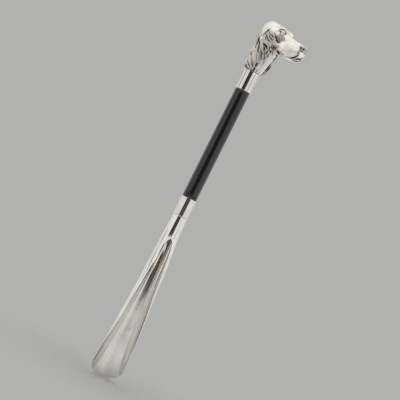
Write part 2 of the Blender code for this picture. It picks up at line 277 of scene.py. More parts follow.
def floor():
    """A pale floor at the height of the blade's tip, which fades into the pale surroundings."""
    low = CAD_BOX[0][2] - 0.0008
    bm = bmesh.new()
    bmesh.ops.create_circle(bm, cap_ends=True, segments=96, radius=3.0)
    bmesh.ops.translate(bm, vec=(0, 0, low), verts=bm.verts)
    mesh = bpy.data.meshes.new("floor")
    bm.to_mesh(mesh)
    bm.free()
    obj = bpy.data.objects.new("floor", mesh)
    SCENE.collection.objects.link(obj)
    mat = bpy.data.materials.new("floor_paint")
    mat.use_nodes = True
    g = Graph(mat.node_tree)
    place = g.node("TexCoord").outputs["Object"]
    grain = g.noise(place, 60.0, 4.0)
    colour = g.mix(g.span(grain, 0.3, 0.7), (0.463, 0.463, 0.458), (0.477, 0.477, 0.472))
    paint = g.node("BsdfPrincipled", {"Base Color": colour, "Roughness": 0.85, "Specular IOR Level": 0.2})
    clear = g.node("BsdfTransparent")
    flat = g.node("VectorMath", {0: place, 1: (1, 1, 0)}, operation="MULTIPLY").outputs[0]
    far = g.node("VectorMath", {0: flat}, operation="LENGTH").outputs["Value"]
    both = g.node("MixShader", {0: g.span(far, 0.03, 0.24)})
    g.tree.links.new(paint.outputs[0], both.inputs[1])
    g.tree.links.new(clear.outputs[0], both.inputs[2])
    g.surface(both)
    mesh.materials.append(mat)


floor()


# ---------------------------------------------------------------- materials
def new_material(name, colour, metallic, roughness):
    mat = bpy.data.materials.new(name)
    mat.use_nodes = True
    mat.diffuse_color = (*colour, 1)
    mat.metallic = metallic
    mat.roughness = roughness
    return mat, Graph(mat.node_tree)


def plate(name, tint, low, high, drawn, ripple):
    """Bright plated metal: faint cloudiness, fine drawing marks along Z, and the slight unevenness of formed sheet."""
    mat, g = new_material(name, tint, 1.0, (low + high) / 2)
    place = g.node("TexCoord").outputs["Object"]
    cloud = g.noise(place, 55.0, 4.0, 0.55)
    marks = g.noise(g.stretched(place, (2600.0, 2600.0, 45.0)), 1.0, 4.0, 0.6)
    spots = g.span(g.noise(place, 900.0, 2.0, 0.7), 0.66, 0.74)
    rough = g.span(g.sum("MULTIPLY_ADD", marks, 0.55, g.sum("MULTIPLY", cloud, 0.45)), 0.34, 0.66, low, high)
    rough = g.sum("MULTIPLY_ADD", spots, 0.10, rough)
    dull = tuple(c * 0.90 for c in tint)
    colour = g.mix(g.span(cloud, 0.35, 0.65), tint, dull)
    colour = g.mix(g.sum("MULTIPLY", spots, 0.35), colour, tuple(c * 0.72 for c in tint))
    waves = g.noise(g.stretched(place, (60.0, 60.0, 22.0)), 1.0, 1.0)
    bump = g.node("Bump", {"Height": waves, "Distance": ripple, "Strength": 0.5})
    fine = g.node("Bump", {"Height": marks, "Distance": drawn, "Strength": 0.35, "Normal": bump.outputs[0]})
    g.surface(g.node("BsdfPrincipled", {"Base Color": colour, "Metallic": 1.0, "Roughness": rough, "Normal": fine.outputs[0]}))
    return mat


def casting():
    """Polished silver, oxidised dark brown in the recesses of the coat, with shade painted dark along its engraved
    lines and in the deep spots of the face, and greyer where the polish has not reached and where shade and a
    reflection are painted on the cheek, lip and muzzle.
    """
    mat, g = new_material("polished_casting", (0.86, 0.83, 0.78), 1.0, 0.2)
    place = g.node("TexCoord").outputs["Object"]
    recess = g.node("Attribute", attribute_name="recess").outputs["Fac"]
    ink = g.node("Attribute", attribute_name="ink").outputs["Fac"]
    dull_and_painted_light = g.node("Attribute", attribute_name="dull_and_painted_light").outputs["Fac"]
    fine = g.noise(place, 700.0, 4.0, 0.6)
    cloud = g.noise(place, 120.0, 3.0)
    deep = g.span(g.sum("ADD", recess, g.sum("MULTIPLY_ADD", fine, 0.30, -0.15)), 0.22, 0.95)
    # painted shade: the engraved lines, the eye's corners, the nostrils and the corner under the lips are painted dark
    # on top of the oxide
    deep = g.span(g.sum("MAXIMUM", deep, g.sum("MULTIPLY", ink, g.span(fine, 0.0, 0.45, 0.8, 1.0))), 0.0, 0.85)
    bright = g.mix(g.span(cloud, 0.35, 0.65), (0.92, 0.895, 0.85), (0.82, 0.795, 0.75))
    # greyer tone: duller metal on the nose's pad and the coat, painted shade on the lip and muzzle, a painted
    # reflection on the cheek
    tone = g.mix(dull_and_painted_light, bright, (0.40, 0.375, 0.33))
    colour = g.mix(deep, tone, (0.028, 0.020, 0.014))
    rough = g.sum("MULTIPLY_ADD", cloud, 0.10, 0.15)
    rough = g.sum("MULTIPLY_ADD", deep, 0.35, rough)
    rough = g.sum("MULTIPLY_ADD", dull_and_painted_light, 0.18, rough)
    metal = g.sum("MULTIPLY_ADD", deep, -0.35, 1.0)
    bump = g.node("Bump", {"Height": fine, "Distance": 0.00006, "Strength": 0.4})
    cast = g.node("Bump", {"Height": g.noise(place, 260.0, 2.0), "Distance": 0.00025, "Strength": 0.35, "Normal": bump.outputs[0]})
    g.surface(g.node("BsdfPrincipled", {"Base Color": colour, "Metallic": metal, "Roughness": rough, "Normal": cast.outputs[0]}))
    return mat


def lacquer():
    """Black gloss lacquer over turned beech: a trace of the grain telegraphs through, with faint rub marks."""
    mat, g = new_material("black_lacquer", (0.010, 0.010, 0.011), 0.0, 0.1)
    place = g.node("TexCoord").outputs["Object"]
    grain = g.noise(g.stretched(place, (900.0, 900.0, 26.0)), 1.0, 5.0, 0.6)
    rub = g.noise(g.stretched(place, (120.0, 120.0, 420.0)), 1.0, 3.0)
    colour = g.mix(g.span(grain, 0.35, 0.7), (0.006, 0.006, 0.007), (0.013, 0.011, 0.010))
    rough = g.span(rub, 0.3, 0.75, 0.10, 0.20)
    bump = g.node("Bump", {"Height": grain, "Distance": 0.000008, "Strength": 0.25})
    g.surface(
        g.node(
            "BsdfPrincipled",
            {
                "Base Color": colour,
                "Roughness": rough,
                "IOR": 1.53,
                "Normal": bump.outputs[0],
                "Coat Weight": 0.2,
                "Coat Roughness": 0.06,
                "Coat IOR": 1.5,
            },
        )
    )
    return mat


def turned_metal(name, tint, rough, ring_scale):
    """Machined metal with concentric turning marks and a trace of tarnish."""
    mat, g = new_material(name, tint, 1.0, rough)
    place = g.node("TexCoord").outputs["Object"]
    rings = g.noise(g.stretched(place, (40.0, 40.0, ring_scale)), 1.0, 3.0, 0.6)
    cloud = g.noise(place, 160.0, 3.0)
    colour = g.mix(g.span(cloud, 0.35, 0.7), tint, tuple(c * 0.7 for c in tint))
    bump = g.node("Bump", {"Height": rings, "Distance": 0.00008, "Strength": 0.4})
    g.surface(
        g.node(
            "BsdfPrincipled",
            {"Base Color": colour, "Metallic": 1.0, "Roughness": g.span(rings, 0.3, 0.7, rough * 0.7, rough * 1.3), "Normal": bump.outputs[0]},
        )
    )
    return mat


def fibre():
    mat, g = new_material("vulcanised_fibre", (0.04, 0.038, 0.036), 0.0, 0.6)
    place = g.node("TexCoord").outputs["Object"]
    threads = g.noise(g.stretched(place, (700.0, 2400.0, 700.0)), 1.0, 5.0, 0.7)
    colour = g.mix(threads, (0.022, 0.020, 0.018), (0.070, 0.062, 0.055))
    bump = g.node("Bump", {"Height": threads, "Distance": 0.0001, "Strength": 0.5})
    g.surface(g.node("BsdfPrincipled", {"Base Color": colour, "Roughness": g.span(threads, 0.3, 0.7, 0.5, 0.75), "Normal": bump.outputs[0]}))
    return mat


SHEET = plate("plated_sheet", (0.88, 0.865, 0.835), 0.07, 0.12, 0.0000015, 0.00001)
TUBE = plate("plated_tube", (0.80, 0.785, 0.75), 0.05, 0.10, 0.0000015, 0.00001)
SILVER = casting()
BLACK = lacquer()
BRASS = turned_metal("machined_brass", (0.74, 0.55, 0.26), 0.26, 5200.0)
STEEL = turned_metal("zinc_steel", (0.58, 0.58, 0.59), 0.30, 5200.0)
FIBRE = fibre()

# ---------------------------------------------------------------- shared measures, millimetres
SHAFT_R = 10.0
SHAFT_HALF = 77.5
FERRULE_R = 10.1
FERRULE_IN_R = 8.9
TOP = 104.5  # upper ferrule's top edge
SEAM = -103.5  # lower ferrule's bottom edge
GAP = 0.3
HEAD_CLOCK = -52.0
HEAD_SCALE = 1.009
PITCH = 1.25  # of the M8 threads


def add_mesh(name, verts, faces, mat, body, stands_for=(), slot=None, sharp=40, scale=MM):
    """A finished piece from points in millimetres."""
    mesh = bpy.data.meshes.new(name)
    verts = np.asarray(verts, float) * scale
    mesh.from_pydata(verts.tolist(), [], [list(map(int, f)) for f in faces])
    mesh.validate()
    mesh.shade_smooth()
    if sharp:
        mesh.set_sharp_from_angle(angle=math.radians(sharp))
    mesh.materials.append(mat)
    obj = bpy.data.objects.new(name, mesh)
    SCENE.collection.objects.link(obj)
    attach(obj, body)
    if stands_for:
        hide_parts(*stands_for)
    return obj


def rounded(profile, radius, steps=4):
    """A closed profile of (r, z) with its corners rounded; radius is one number or one for each corner."""
    out = []
    n = len(profile)
    radii = [radius] * n if np.isscalar(radius) else radius
    for i in range(n):
        p = Vector(profile[i])
        a, b = Vector(profile[i - 1]), Vector(profile[(i + 1) % n])
        da, db = (a - p), (b - p)
        r = min(radii[i], da.length * 0.49, db.length * 0.49)
        if r <= 0:
            out.append(tuple(p))
            continue
        da.normalize()
        db.normalize()
        # a point a little way along each side keeps the flat faces' shading flat
        if da.dot(a - p) > r + 1.0:
            out.append(tuple(p + da * (r + 0.2)))
        for j in range(steps + 1):
            t = j / steps
            out.append(tuple(p + da * r * (1 - t) ** 2 + db * r * t**2))
        if db.dot(b - p) > r + 1.0:
            out.append(tuple(p + db * (r + 0.2)))
    return out


def turning(name, profile, mat, body, z=0.0, steps=128, **facts):
    """A turned ring from a closed profile of (radius, height)."""
    n = len(profile)
    verts, faces = [], []
    for i in range(steps):
        a = math.tau * i / steps
        verts += [(r * math.cos(a), r * math.sin(a), h + z) for r, h in profile]
    for i in range(steps):
        for j in range(n):
            k, i2 = (j + 1) % n, (i + 1) % steps
            faces.append((i * n + j, i * n + k, i2 * n + k, i2 * n + j))
    area = sum(profile[j][0] * profile[(j + 1) % n][1] - profile[(j + 1) % n][0] * profile[j][1] for j in range(n))
    if area > 0:
        faces = [f[::-1] for f in faces]
    return add_mesh(name, verts, faces, mat, body, **facts)


def solid_turning(name, profile, mat, body, z=0.0, steps=128, **facts):
    """A turned solid: the profile runs from the axis at the top, down the outer side, to the axis at the bottom."""
    n = len(profile)
    verts = [(0, 0, profile[0][1] + z), (0, 0, profile[-1][1] + z)]
    inner = profile[1:-1]
    m = len(inner)
    faces = []
    for i in range(steps):
        a = math.tau * i / steps
        verts += [(r * math.cos(a), r * math.sin(a), h + z) for r, h in inner]
    for i in range(steps):
        i2 = (i + 1) % steps
        faces.append((0, 2 + i * m, 2 + i2 * m))
        faces.append((1, 2 + i2 * m + m - 1, 2 + i * m + m - 1))
        for j in range(m - 1):
            faces.append((2 + i * m + j, 2 + i * m + j + 1, 2 + i2 * m + j + 1, 2 + i2 * m + j))
    return add_mesh(name, verts, faces, mat, body, **facts)


# ---------------------------------------------------------------- sculpting with a distance field (millimetres)
class Clay:
    """A block of grid points that smooth masses are added to and cut from."""

    def __init__(self, low, high, step):
        self.low = np.array(low, float)
        self.step = step
        self.n = np.ceil((np.array(high, float) - self.low) / step).astype(int) + 1
        self.d = np.full(self.n, 6.0, np.float32)
        self.axes = [(self.low[i] + step * np.arange(self.n[i])).astype(np.float32) for i in range(3)]

    def region(self, low, high, pad):
        a = np.clip(np.floor((np.array(low) - pad - self.low) / self.step).astype(int), 0, self.n)
        b = np.clip(np.ceil((np.array(high) + pad - self.low) / self.step).astype(int) + 1, 0, self.n)
        if (b <= a).any():
            return None
        sl = tuple(slice(a[i], b[i]) for i in range(3))
        X, Y, Z = np.meshgrid(*(self.axes[i][sl[i]] for i in range(3)), indexing="ij", sparse=True)
        return sl, X, Y, Z

    def add(self, shape, k=0.0, pad=3.0):
        low, high, f = shape
        got = self.region(low, high, max(pad, k * 1.5))
        if got is not None:
            sl, X, Y, Z = got
            self.d[sl] = smin(self.d[sl], f(X, Y, Z), k)

    def cut(self, shape, k=0.0, pad=2.0):
        low, high, f = shape
        got = self.region(low, high, max(pad, k * 1.5))
        if got is not None:
            sl, X, Y, Z = got
            self.d[sl] = -smin(-self.d[sl], f(X, Y, Z), k)

    def at(self, points, field=None):
        """Value of the field at points (n, 3)."""
        field = self.d if field is None else field
        q = np.clip((np.asarray(points, float) - self.low) / self.step, 0, np.array(field.shape) - 1.001)
        i = q.astype(int)
        f = q - i
        out = 0
        for a in (0, 1):
            for b in (0, 1):
                for c in (0, 1):
                    w = (f[:, 0] if a else 1 - f[:, 0]) * (f[:, 1] if b else 1 - f[:, 1]) * (f[:, 2] if c else 1 - f[:, 2])
                    out = out + w * field[i[:, 0] + a, i[:, 1] + b, i[:, 2] + c]
        return out

    def softened(self, sigma):
        """The field blurred by sigma mm, for finding recesses."""
        reach = int(math.ceil(2.2 * sigma / self.step))
        w = np.exp(-0.5 * (np.arange(-reach, reach + 1) * self.step / sigma) ** 2)
        w /= w.sum()
        out = np.clip(self.d, -3, 3)
        for axis in range(3):
            padded = np.pad(out, [(reach, reach) if i == axis else (0, 0) for i in range(3)], mode="edge")
            total = 0
            for j, wj in enumerate(w):
                total = total + np.float32(wj) * np.take(padded, range(j, j + out.shape[axis]), axis)
            out = total
        return out


def smin(a, b, k):
    if k <= 0:
        return np.minimum(a, b)
    h = np.maximum(k - np.abs(a - b), 0) / k
    return np.minimum(a, b) - h * h * k * 0.25


def egg(c, r, yaw=0.0, pitch=0.0, roll=0.0):
    """Ellipsoid; yaw about Z, then nose-down pitch about Y, then roll about X, in degrees."""

    def f(X, Y, Z):
        x, y, z = turned_to(X, Y, Z, c, yaw, pitch, roll)
        k0 = np.sqrt((x / r[0]) ** 2 + (y / r[1]) ** 2 + (z / r[2]) ** 2)
        k1 = np.sqrt((x / r[0] ** 2) ** 2 + (y / r[1] ** 2) ** 2 + (z / r[2] ** 2) ** 2)
        return k0 * (k0 - 1) / np.maximum(k1, 1e-6)

    R = max(r)
    return [v - R for v in c], [v + R for v in c], f


def turned_to(X, Y, Z, c, yaw, pitch, roll):
    x, y, z = X - c[0], Y - c[1], Z - c[2]
    a = math.radians(yaw)
    x, y = x * math.cos(a) + y * math.sin(a), -x * math.sin(a) + y * math.cos(a)
    a = math.radians(pitch)
    x, z = x * math.cos(a) - z * math.sin(a), x * math.sin(a) + z * math.cos(a)
    a = math.radians(roll)
    y, z = y * math.cos(a) + z * math.sin(a), -y * math.sin(a) + z * math.cos(a)
    return x, y, z


def block(c, half, rad, yaw=0.0, pitch=0.0, roll=0.0):
    """Box with rounded edges."""

    def f(X, Y, Z):
        x, y, z = turned_to(X, Y, Z, c, yaw, pitch, roll)
        q = [np.abs(v) - h + rad for v, h in zip((x, y, z), half)]
        out = np.sqrt(sum(np.maximum(v, 0) ** 2 for v in q))
        return out + np.minimum(np.maximum(q[0], np.maximum(q[1], q[2])), 0) - rad

    R = min(math.sqrt(sum(h * h for h in half)), max(half) * 1.25)
    return [v - R for v in c], [v + R for v in c], f


def post(a, b, ra, rb):
    """Round cone from a to b."""
    a, b = np.array(a, float), np.array(b, float)
    ab = b - a
    L2 = float(ab @ ab) + 1e-9

    def f(X, Y, Z):
        t = np.clip(((X - a[0]) * ab[0] + (Y - a[1]) * ab[1] + (Z - a[2]) * ab[2]) / L2, 0, 1)
        dx, dy, dz = X - a[0] - t * ab[0], Y - a[1] - t * ab[1], Z - a[2] - t * ab[2]
        return np.sqrt(dx * dx + dy * dy + dz * dz) - (ra + (rb - ra) * t)

    R = max(ra, rb)
    return list(np.minimum(a, b) - R), list(np.maximum(a, b) + R), f


def spline(points, n):
    """Smooth curve through points, n samples."""
    P = np.array(points, float)
    P = np.vstack([2 * P[0] - P[1], P, 2 * P[-1] - P[-2]])
    m = len(P) - 3
    out = []
    for u in np.linspace(0, m, n):
        i = min(int(u), m - 1)
        t = u - i
        p0, p1, p2, p3 = P[i : i + 4]
        out.append(0.5 * (2 * p1 + (p2 - p0) * t + (2 * p0 - 5 * p1 + 4 * p2 - p3) * t * t + (3 * p1 - p0 - 3 * p2 + p3) * t**3))
    return np.array(out)


def skin(clay):
    """Quads where the field changes sign: one vertex in each mixed cell."""
    d, h = clay.d, clay.step
    inside = d < 0
    nx, ny, nz = d.shape
    corners = [(i, j, k) for i in (0, 1) for j in (0, 1) for k in (0, 1)]
    views = {c: d[c[0] : nx - 1 + c[0], c[1] : ny - 1 + c[1], c[2] : nz - 1 + c[2]] for c in corners}
    count = sum((views[c] < 0).astype(np.int8) for c in corners)
    mixed = (count > 0) & (count < 8)
    index = np.full(mixed.shape, -1, np.int64)
    cells = np.argwhere(mixed)
    index[mixed] = np.arange(len(cells))
    vals = {c: views[c][mixed].astype(float) for c in corners}
    total = np.zeros((len(cells), 3))
    hits = np.zeros(len(cells))
    for a in corners:
        for axis in range(3):
            if a[axis] == 1:
                continue
            b = list(a)
            b[axis] = 1
            va, vb = vals[a], vals[tuple(b)]
            cross = (va < 0) != (vb < 0)
            t = np.where(cross, va / np.where(cross, va - vb, 1), 0)
            p = np.array(a, float)[None, :].repeat(len(cells), 0)
            p[:, axis] = t
            total += p * cross[:, None]
            hits += cross
    verts = (cells + total / hits[:, None]) * h + clay.low
    faces = []
    for axis in range(3):
        o1, o2 = [(1, 2), (2, 0), (0, 1)][axis]
        a = np.take(inside, range(0, d.shape[axis] - 1), axis)
        b = np.take(inside, range(1, d.shape[axis]), axis)
        change = a != b
        P = np.argwhere(change)
        flip = a[change]
        ok = (P[:, o1] > 0) & (P[:, o2] > 0) & (P[:, o1] < mixed.shape[o1]) & (P[:, o2] < mixed.shape[o2])
        P, flip = P[ok], flip[ok]
        q = []
        for s1, s2 in ((1, 1), (0, 1), (0, 0), (1, 0)):
            c = P.copy()
            c[:, o1] -= s1
            c[:, o2] -= s2
            q.append(index[c[:, 0], c[:, 1], c[:, 2]])
        q = np.stack(q, 1)
        q[~flip] = q[~flip][:, ::-1]
        faces.append(q)
    return verts, np.vstack(faces)


# ---------------------------------------------------------------- the hound's head
# Its own frame, in millimetres: +X towards the nose, +Y the dog's left, +Z up from the neck's base. Tufts and engraved
# lines are placed in the drawing's grid, (across, up) seen TURN degrees round from the dog's right side, CELL mm a unit,
# with the neck's base at 141 up.
TURN = math.radians(38.0)
CELL = 1.28


def middle(z):
    """Where the upright axis that the coat is laid round sits, at height z."""
    return 5.0 * np.clip((np.asarray(z, float) - 10) / 50, 0, 1)


def laid(clay, theta, z, field=None):
    """Points on the surface at angles theta (degrees from the nose, + to the dog's left) and heights z."""
    theta, z = np.atleast_1d(theta).astype(float), np.atleast_1d(z).astype(float)
    a = np.radians(theta)
    ax = middle(z)
    r = np.full(len(z), 27.0)
    found = np.full(len(z), 8.0)
    done = np.zeros(len(z), bool)
    before = np.full(len(z), 6.0)
    for _ in range(60):
        P = np.stack([ax + r * np.cos(a), r * np.sin(a), z], 1)
        value = clay.at(P, field)
        hit = (value < 0) & ~done
        found = np.where(hit, r + 0.4 * (-value) / np.maximum(before - value, 1e-6), found)
        done |= hit
        if done.all():
            break
        before = value
        r = r - 0.4
    return np.stack([ax + found * np.cos(a), found * np.sin(a), z], 1), a


def seen(clay, points, side=-1, field=None):
    """Points on the surface behind the points (t, s) of the drawing; side 1 is their mirror image."""
    T, S = np.array(points, float).T
    along = np.array([math.cos(TURN), math.sin(TURN), 0])
    into = np.array([-math.sin(TURN), math.cos(TURN), 0])
    start = along * ((T + 0.45) * CELL)[:, None] + np.array([0, 0, 1]) * ((S - 141) * CELL)[:, None]
    depths = np.arange(-58, 12, 0.4)
    P = start[:, None, :] + into * depths[None, :, None]
    # the drawing is in perspective: what stands nearer than the middle is drawn higher
    P[..., 2] += P[..., 1] * math.cos(TURN) * (178 + P[..., 2]) / 1800
    value = clay.at(P.reshape(-1, 3), field).reshape(len(T), -1)
    hit = value < 0
    first = np.where(hit.any(1), hit.argmax(1), value.argmin(1))
    before = np.maximum(first - 1, 0)
    row = np.arange(len(T))
    v0, v1 = value[row, before], value[row, first]
    step = np.where(hit.any(1), v0 / np.maximum(v0 - v1, 1e-6), 1.0)
    out = start + into * (depths[before] + 0.4 * step)[:, None]
    out[:, 2] += out[:, 1] * math.cos(TURN) * (178 + out[:, 2]) / 1800
    # rays that pass outside the outline are drawn in to the surface
    for _ in range(3):
        out = out - slope(clay, out, field) * np.maximum(clay.at(out, field), 0)[:, None]
    if side > 0:
        out[:, 1] *= -1
    return out


def slope(clay, P, field=None):
    """Outward direction of the field at points."""
    h = 0.6
    g = np.stack([clay.at(P + np.eye(3)[i] * h, field) - clay.at(P - np.eye(3)[i] * h, field) for i in range(3)], 1)
    return g / (np.linalg.norm(g, axis=1, keepdims=True) + 1e-9)


def smoothed(P, times=2):
    P = P.copy()
    for _ in range(times):
        P[1:-1] = 0.25 * P[:-2] + 0.5 * P[1:-1] + 0.25 * P[2:]
    return P


def tuft(clay, base, P, width, lift, strands=3, depth=0.5, blunt=0.35, groove=0.22, soft=0.5, seed=0.0):
    """A lock of hair along the points P: a flattened, grooved ridge that swells from its root and ends in a point."""
    P = smoothed(P, 3)
    n = len(P)
    out = smoothed(slope(clay, P, base), 2)
    out /= np.linalg.norm(out, axis=1, keepdims=True)
    u = np.linspace(0, 1, n)
    r = width * np.minimum((0.45 + 1.6 * u), 1) * np.clip((1 - u) / blunt, 0.0, 1) ** 0.6
    r = np.maximum(r, 0.25)
    rise = lift * np.clip(u / 0.3, 0, 1) * (1 - 0.35 * u) - 0.25 * r
    P = P + out * rise[:, None]
    for i in range(n - 1):
        p0, p1 = P[i], P[i + 1]
        ab = p1 - p0
        L2 = float(ab @ ab) + 1e-6
        t = ab / math.sqrt(L2)
        nn = out[i] - t * float(out[i] @ t)
        nn /= np.linalg.norm(nn) + 1e-9
        bb = np.cross(t, nn)
        ra, rb = r[i], r[i + 1]
        wave = seed + 0.5 * math.sin(3.1 * u[i] + seed * 7)

        def f(X, Y, Z, p0=p0, ab=ab, L2=L2, nn=nn, bb=bb, ra=ra, rb=rb, wave=wave):
            dx, dy, dz = X - p0[0], Y - p0[1], Z - p0[2]
            s = np.clip((dx * ab[0] + dy * ab[1] + dz * ab[2]) / L2, 0, 1)
            dx, dy, dz = dx - s * ab[0], dy - s * ab[1], dz - s * ab[2]
            w = dx * bb[0] + dy * bb[1] + dz * bb[2]
            h = dx * nn[0] + dy * nn[1] + dz * nn[2]
            rr = ra + (rb - ra) * s
            e = np.maximum(dx * dx + dy * dy + dz * dz - w * w - h * h, 0)
            d = (np.sqrt(w * w + (h / depth) ** 2 + e) - rr) * (0.5 + 0.5 * depth)
            if strands:
                d = d + groove * (0.5 + 0.5 * np.cos(math.tau * strands * (w / np.maximum(2 * rr, 0.4)) + wave)) * np.minimum(rr / width, 1)
            return d

        R = max(ra, rb) + 0.3
        clay.add((list(np.minimum(p0, p1) - R), list(np.maximum(p0, p1) + R), f), k=soft, pad=1.2)


def masses(clay):
    A, C = clay.add, clay.cut
    # neck and throat
    A(post((0.2, 0, -3), (-1.0, 0, 14), 10.2, 11.6))
    A(post((-1.0, 0, 14), (0.5, 0, 42), 11.6, 13.6), 4)
    A(post((1.8, 0, 1), (6.8, 0, 33), 8.2, 8.8), 3)
    # skull
    A(egg((4.6, 0, 53.4), (17.4, 13.8, 17.1)), 5)
    A(egg((-2.2, 0, 60.4), (9.8, 9.0, 9.2)), 5)
    A(egg((15.0, 0, 57.4), (13.5, 10.8, 11.6), pitch=4), 5)
    for s in (1, -1):
        # brow
        A(egg((20.6, 7.2 * s, 64.4), (7.6, 3.8, 4.0), yaw=6 * s, pitch=7), 2.5)
        # cheek, and the bone under the eye
        A(egg((14.0, 9.4 * s, 48.5), (11.0, 4.2, 9.0), yaw=4 * s, pitch=10), 4)
        A(egg((25.5, 7.0 * s, 55.0), (7.5, 3.4, 5.0), pitch=18), 4)
        A(egg((32.0, 4.8 * s, 56.0), (7.0, 3.2, 4.4), pitch=10), 4)
    # muzzle: a long squared bridge
    A(block((41.5, 0, 53.2), (18.0, 7.0, 7.2), 3.4, pitch=6.0), 5)
    A(block((38.0, 0, 45.0), (16.5, 7.4, 8.2), 4.2, pitch=2), 4)
    # lower jaw and chin
    A(post((10, 0, 42.5), (51.5, 0, 40.4), 7.4, 5.2), 2)
    A(egg((53.8, 0, 40.2), (6.2, 6.8, 4.8)), 2)
    # front of the upper lip, nose pad
    A(block((54.3, 0, 46.4), (5.8, 7.8, 5.8), 4.2), 1.6)
    A(block((57.2, 0, 53.6), (3.4, 4.9, 4.0), 2.6, pitch=6), 1.2)
    A(egg((57.0, 0, 50.4), (3.6, 3.2, 3.4)), 1.0)
    for s in (1, -1):
        A(egg((56.6, 3.8 * s, 52.8), (3.0, 2.0, 2.8)), 0.8)
        # hanging lip, whose front edge stands off the chin
        A(egg((41.0, 5.6 * s, 44.8), (13.0, 4.9, 10.4), yaw=-1.5 * s, pitch=-9), 1.4)
        A(egg((31.5, 6.4 * s, 42.6), (8.8, 4.6, 7.6), pitch=-4), 3)
        A(egg((47.6, 6.4 * s, 47.0), (7.0, 3.5, 6.6), yaw=-4 * s, pitch=-30), 1.0)
        A(egg((52.0, 6.4 * s, 47.4), (4.2, 2.6, 5.0)), 1.5)


def coat_masses(clay):
    """The ears' leather and the coat's mass on the back of the neck."""
    A = clay.add
    for s in (1, -1):
        A(egg((10.6, 12.2 * s, 54.0), (8.6, 3.6, 6.0), pitch=12, yaw=4 * s, roll=-12 * s), 0.8)
        A(egg((11.2, 13.2 * s, 44.5), (10.0, 3.6, 10.5), pitch=6, yaw=4 * s, roll=-4 * s), 0.8)
        A(egg((7.4, 11.7 * s, 30.5), (8.6, 3.8, 13.0), pitch=8, yaw=-12 * s), 1.5)
        A(egg((5.2, 11.5 * s, 16.5), (8.6, 3.7, 12.8), pitch=8, yaw=-2 * s), 2)
        A(egg((4.9 if s > 0 else 3.4, 11.3 * s, 9.0), (7.8 if s > 0 else 6.4, 3.6, 7.8), yaw=4 * s), 1.5)
        A(egg((-6.2, 7.2 * s, 43.5), (6.7, 6.2, 12.0), pitch=5), 3)
        A(egg((-5.6, 7.2 * s, 21.0), (6.1, 5.8, 9.5), pitch=-2), 2)
        A(egg((-3.6, 7.0 * s, 8.5), (5.6, 4.8, 8.2)), 2)


# Tufts on one side of the head, in the drawing's grid: half-width in mm, lift, strands, path from root to tip. Earlier ones lie under later ones.
TUFTS = [
    # bottom lobes
    (1.8, 0.9, 2, [(-5.2, 150.4), (-3.8, 147.0), (-2.6, 144.0), (-1.8, 141.9)]),
    (1.4, 0.8, 2, [(-2.6, 149.6), (-1.5, 146.2), (-0.9, 143.4)]),
    (1.9, 1.0, 2, [(-10.4, 151.2), (-8.8, 147.6), (-6.9, 144.4), (-5.2, 141.9)]),
    (1.8, 0.9, 2, [(-10.8, 147.8), (-9.7, 144.8), (-8.0, 142.2)]),
    (1.5, 0.9, 2, [(-7.8, 147.6), (-5.8, 144.4), (-4.2, 141.9)]),
    # long tufts on the side of the neck
    (2.0, 0.9, 3, [(0.6, 166.4), (2.0, 161.6), (3.2, 156.6), (3.0, 151.6), (1.9, 147.4)]),
    (2.0, 0.9, 3, [(-1.8, 166.8), (-0.2, 161.8), (1.4, 156.4), (1.9, 151.6), (1.2, 148.6)]),
    (2.2, 1.0, 3, [(-4.0, 167.6), (-2.8, 161.6), (-1.0, 155.6), (0.3, 151.2), (0.6, 148.8)]),
    (2.4, 1.0, 3, [(-6.0, 167.4), (-5.0, 161.0), (-3.0, 154.6), (-1.2, 149.8), (-0.4, 146.8)]),
    (2.7, 1.1, 3, [(-9.0, 166.0), (-8.2, 159.8), (-6.2, 153.6), (-3.6, 148.4), (-1.8, 144.8)]),
    (2.8, 1.1, 3, [(-11.4, 163.8), (-11.4, 158.4), (-9.8, 152.8), (-7.0, 148.2), (-4.2, 144.9)]),
    (2.3, 1.1, 2, [(-12.6, 161.6), (-12.9, 157.2), (-12.0, 152.4), (-10.2, 148.0)]),
    # mane behind the ear
    (2.8, 0.7, 3, [(-9.2, 184.6), (-10.8, 181.0), (-12.4, 176.8), (-12.4, 171.2), (-11.2, 164.8)]),
    (2.2, 0.8, 3, [(-7.6, 183.2), (-8.8, 179.4), (-10.0, 174.6), (-10.4, 169.6), (-9.8, 165.0)]),
    # middle of the ear
    (1.5, 0.8, 2, [(-7.8, 176.4), (-7.6, 172.4), (-7.0, 168.8), (-6.2, 165.4)]),
    (1.6, 0.9, 2, [(-6.0, 175.4), (-5.4, 171.6), (-4.0, 167.8), (-2.0, 163.8), (-0.4, 160.6)]),
    (1.4, 0.8, 2, [(-4.0, 173.4), (-3.0, 170.2), (-1.2, 167.2), (0.8, 163.8), (1.8, 160.4)]),
    (1.3, 0.8, 2, [(-1.0, 171.0), (0.8, 168.8), (2.2, 165.8), (3.0, 162.0)]),
    (1.2, 0.8, 2, [(2.2, 171.6), (3.4, 168.4), (3.9, 165.0), (4.0, 161.2)]),
    (1.1, 0.8, 2, [(4.8, 172.6), (5.2, 169.4), (4.8, 166.0), (4.3, 162.8)]),
    # upper ear
    (1.8, 0.9, 3, [(-6.2, 180.2), (-5.4, 176.8), (-3.0, 174.2), (0.2, 172.8), (2.6, 171.0)]),
    (1.6, 0.9, 2, [(-5.8, 182.6), (-4.0, 179.6), (-1.0, 177.2), (1.8, 175.6), (3.8, 173.6)]),
    (1.6, 0.9, 2, [(-4.8, 184.8), (-2.6, 182.0), (0.6, 179.8), (3.4, 178.2), (5.4, 176.2)]),
    (1.6, 0.9, 2, [(-1.6, 184.6), (1.0, 183.0), (4.0, 181.4), (6.6, 179.8), (7.8, 177.8)]),
    (1.3, 0.9, 2, [(3.0, 177.6), (5.8, 176.4), (7.4, 174.2), (7.0, 171.8), (5.4, 170.2)]),
    (1.3, 0.9, 2, [(6.4, 179.6), (8.6, 177.8), (9.3, 174.8), (8.8, 171.8), (7.2, 169.6)]),
    (1.2, 0.8, 2, [(0.8, 175.0), (3.6, 174.4), (5.0, 172.4), (4.4, 170.0)]),
]
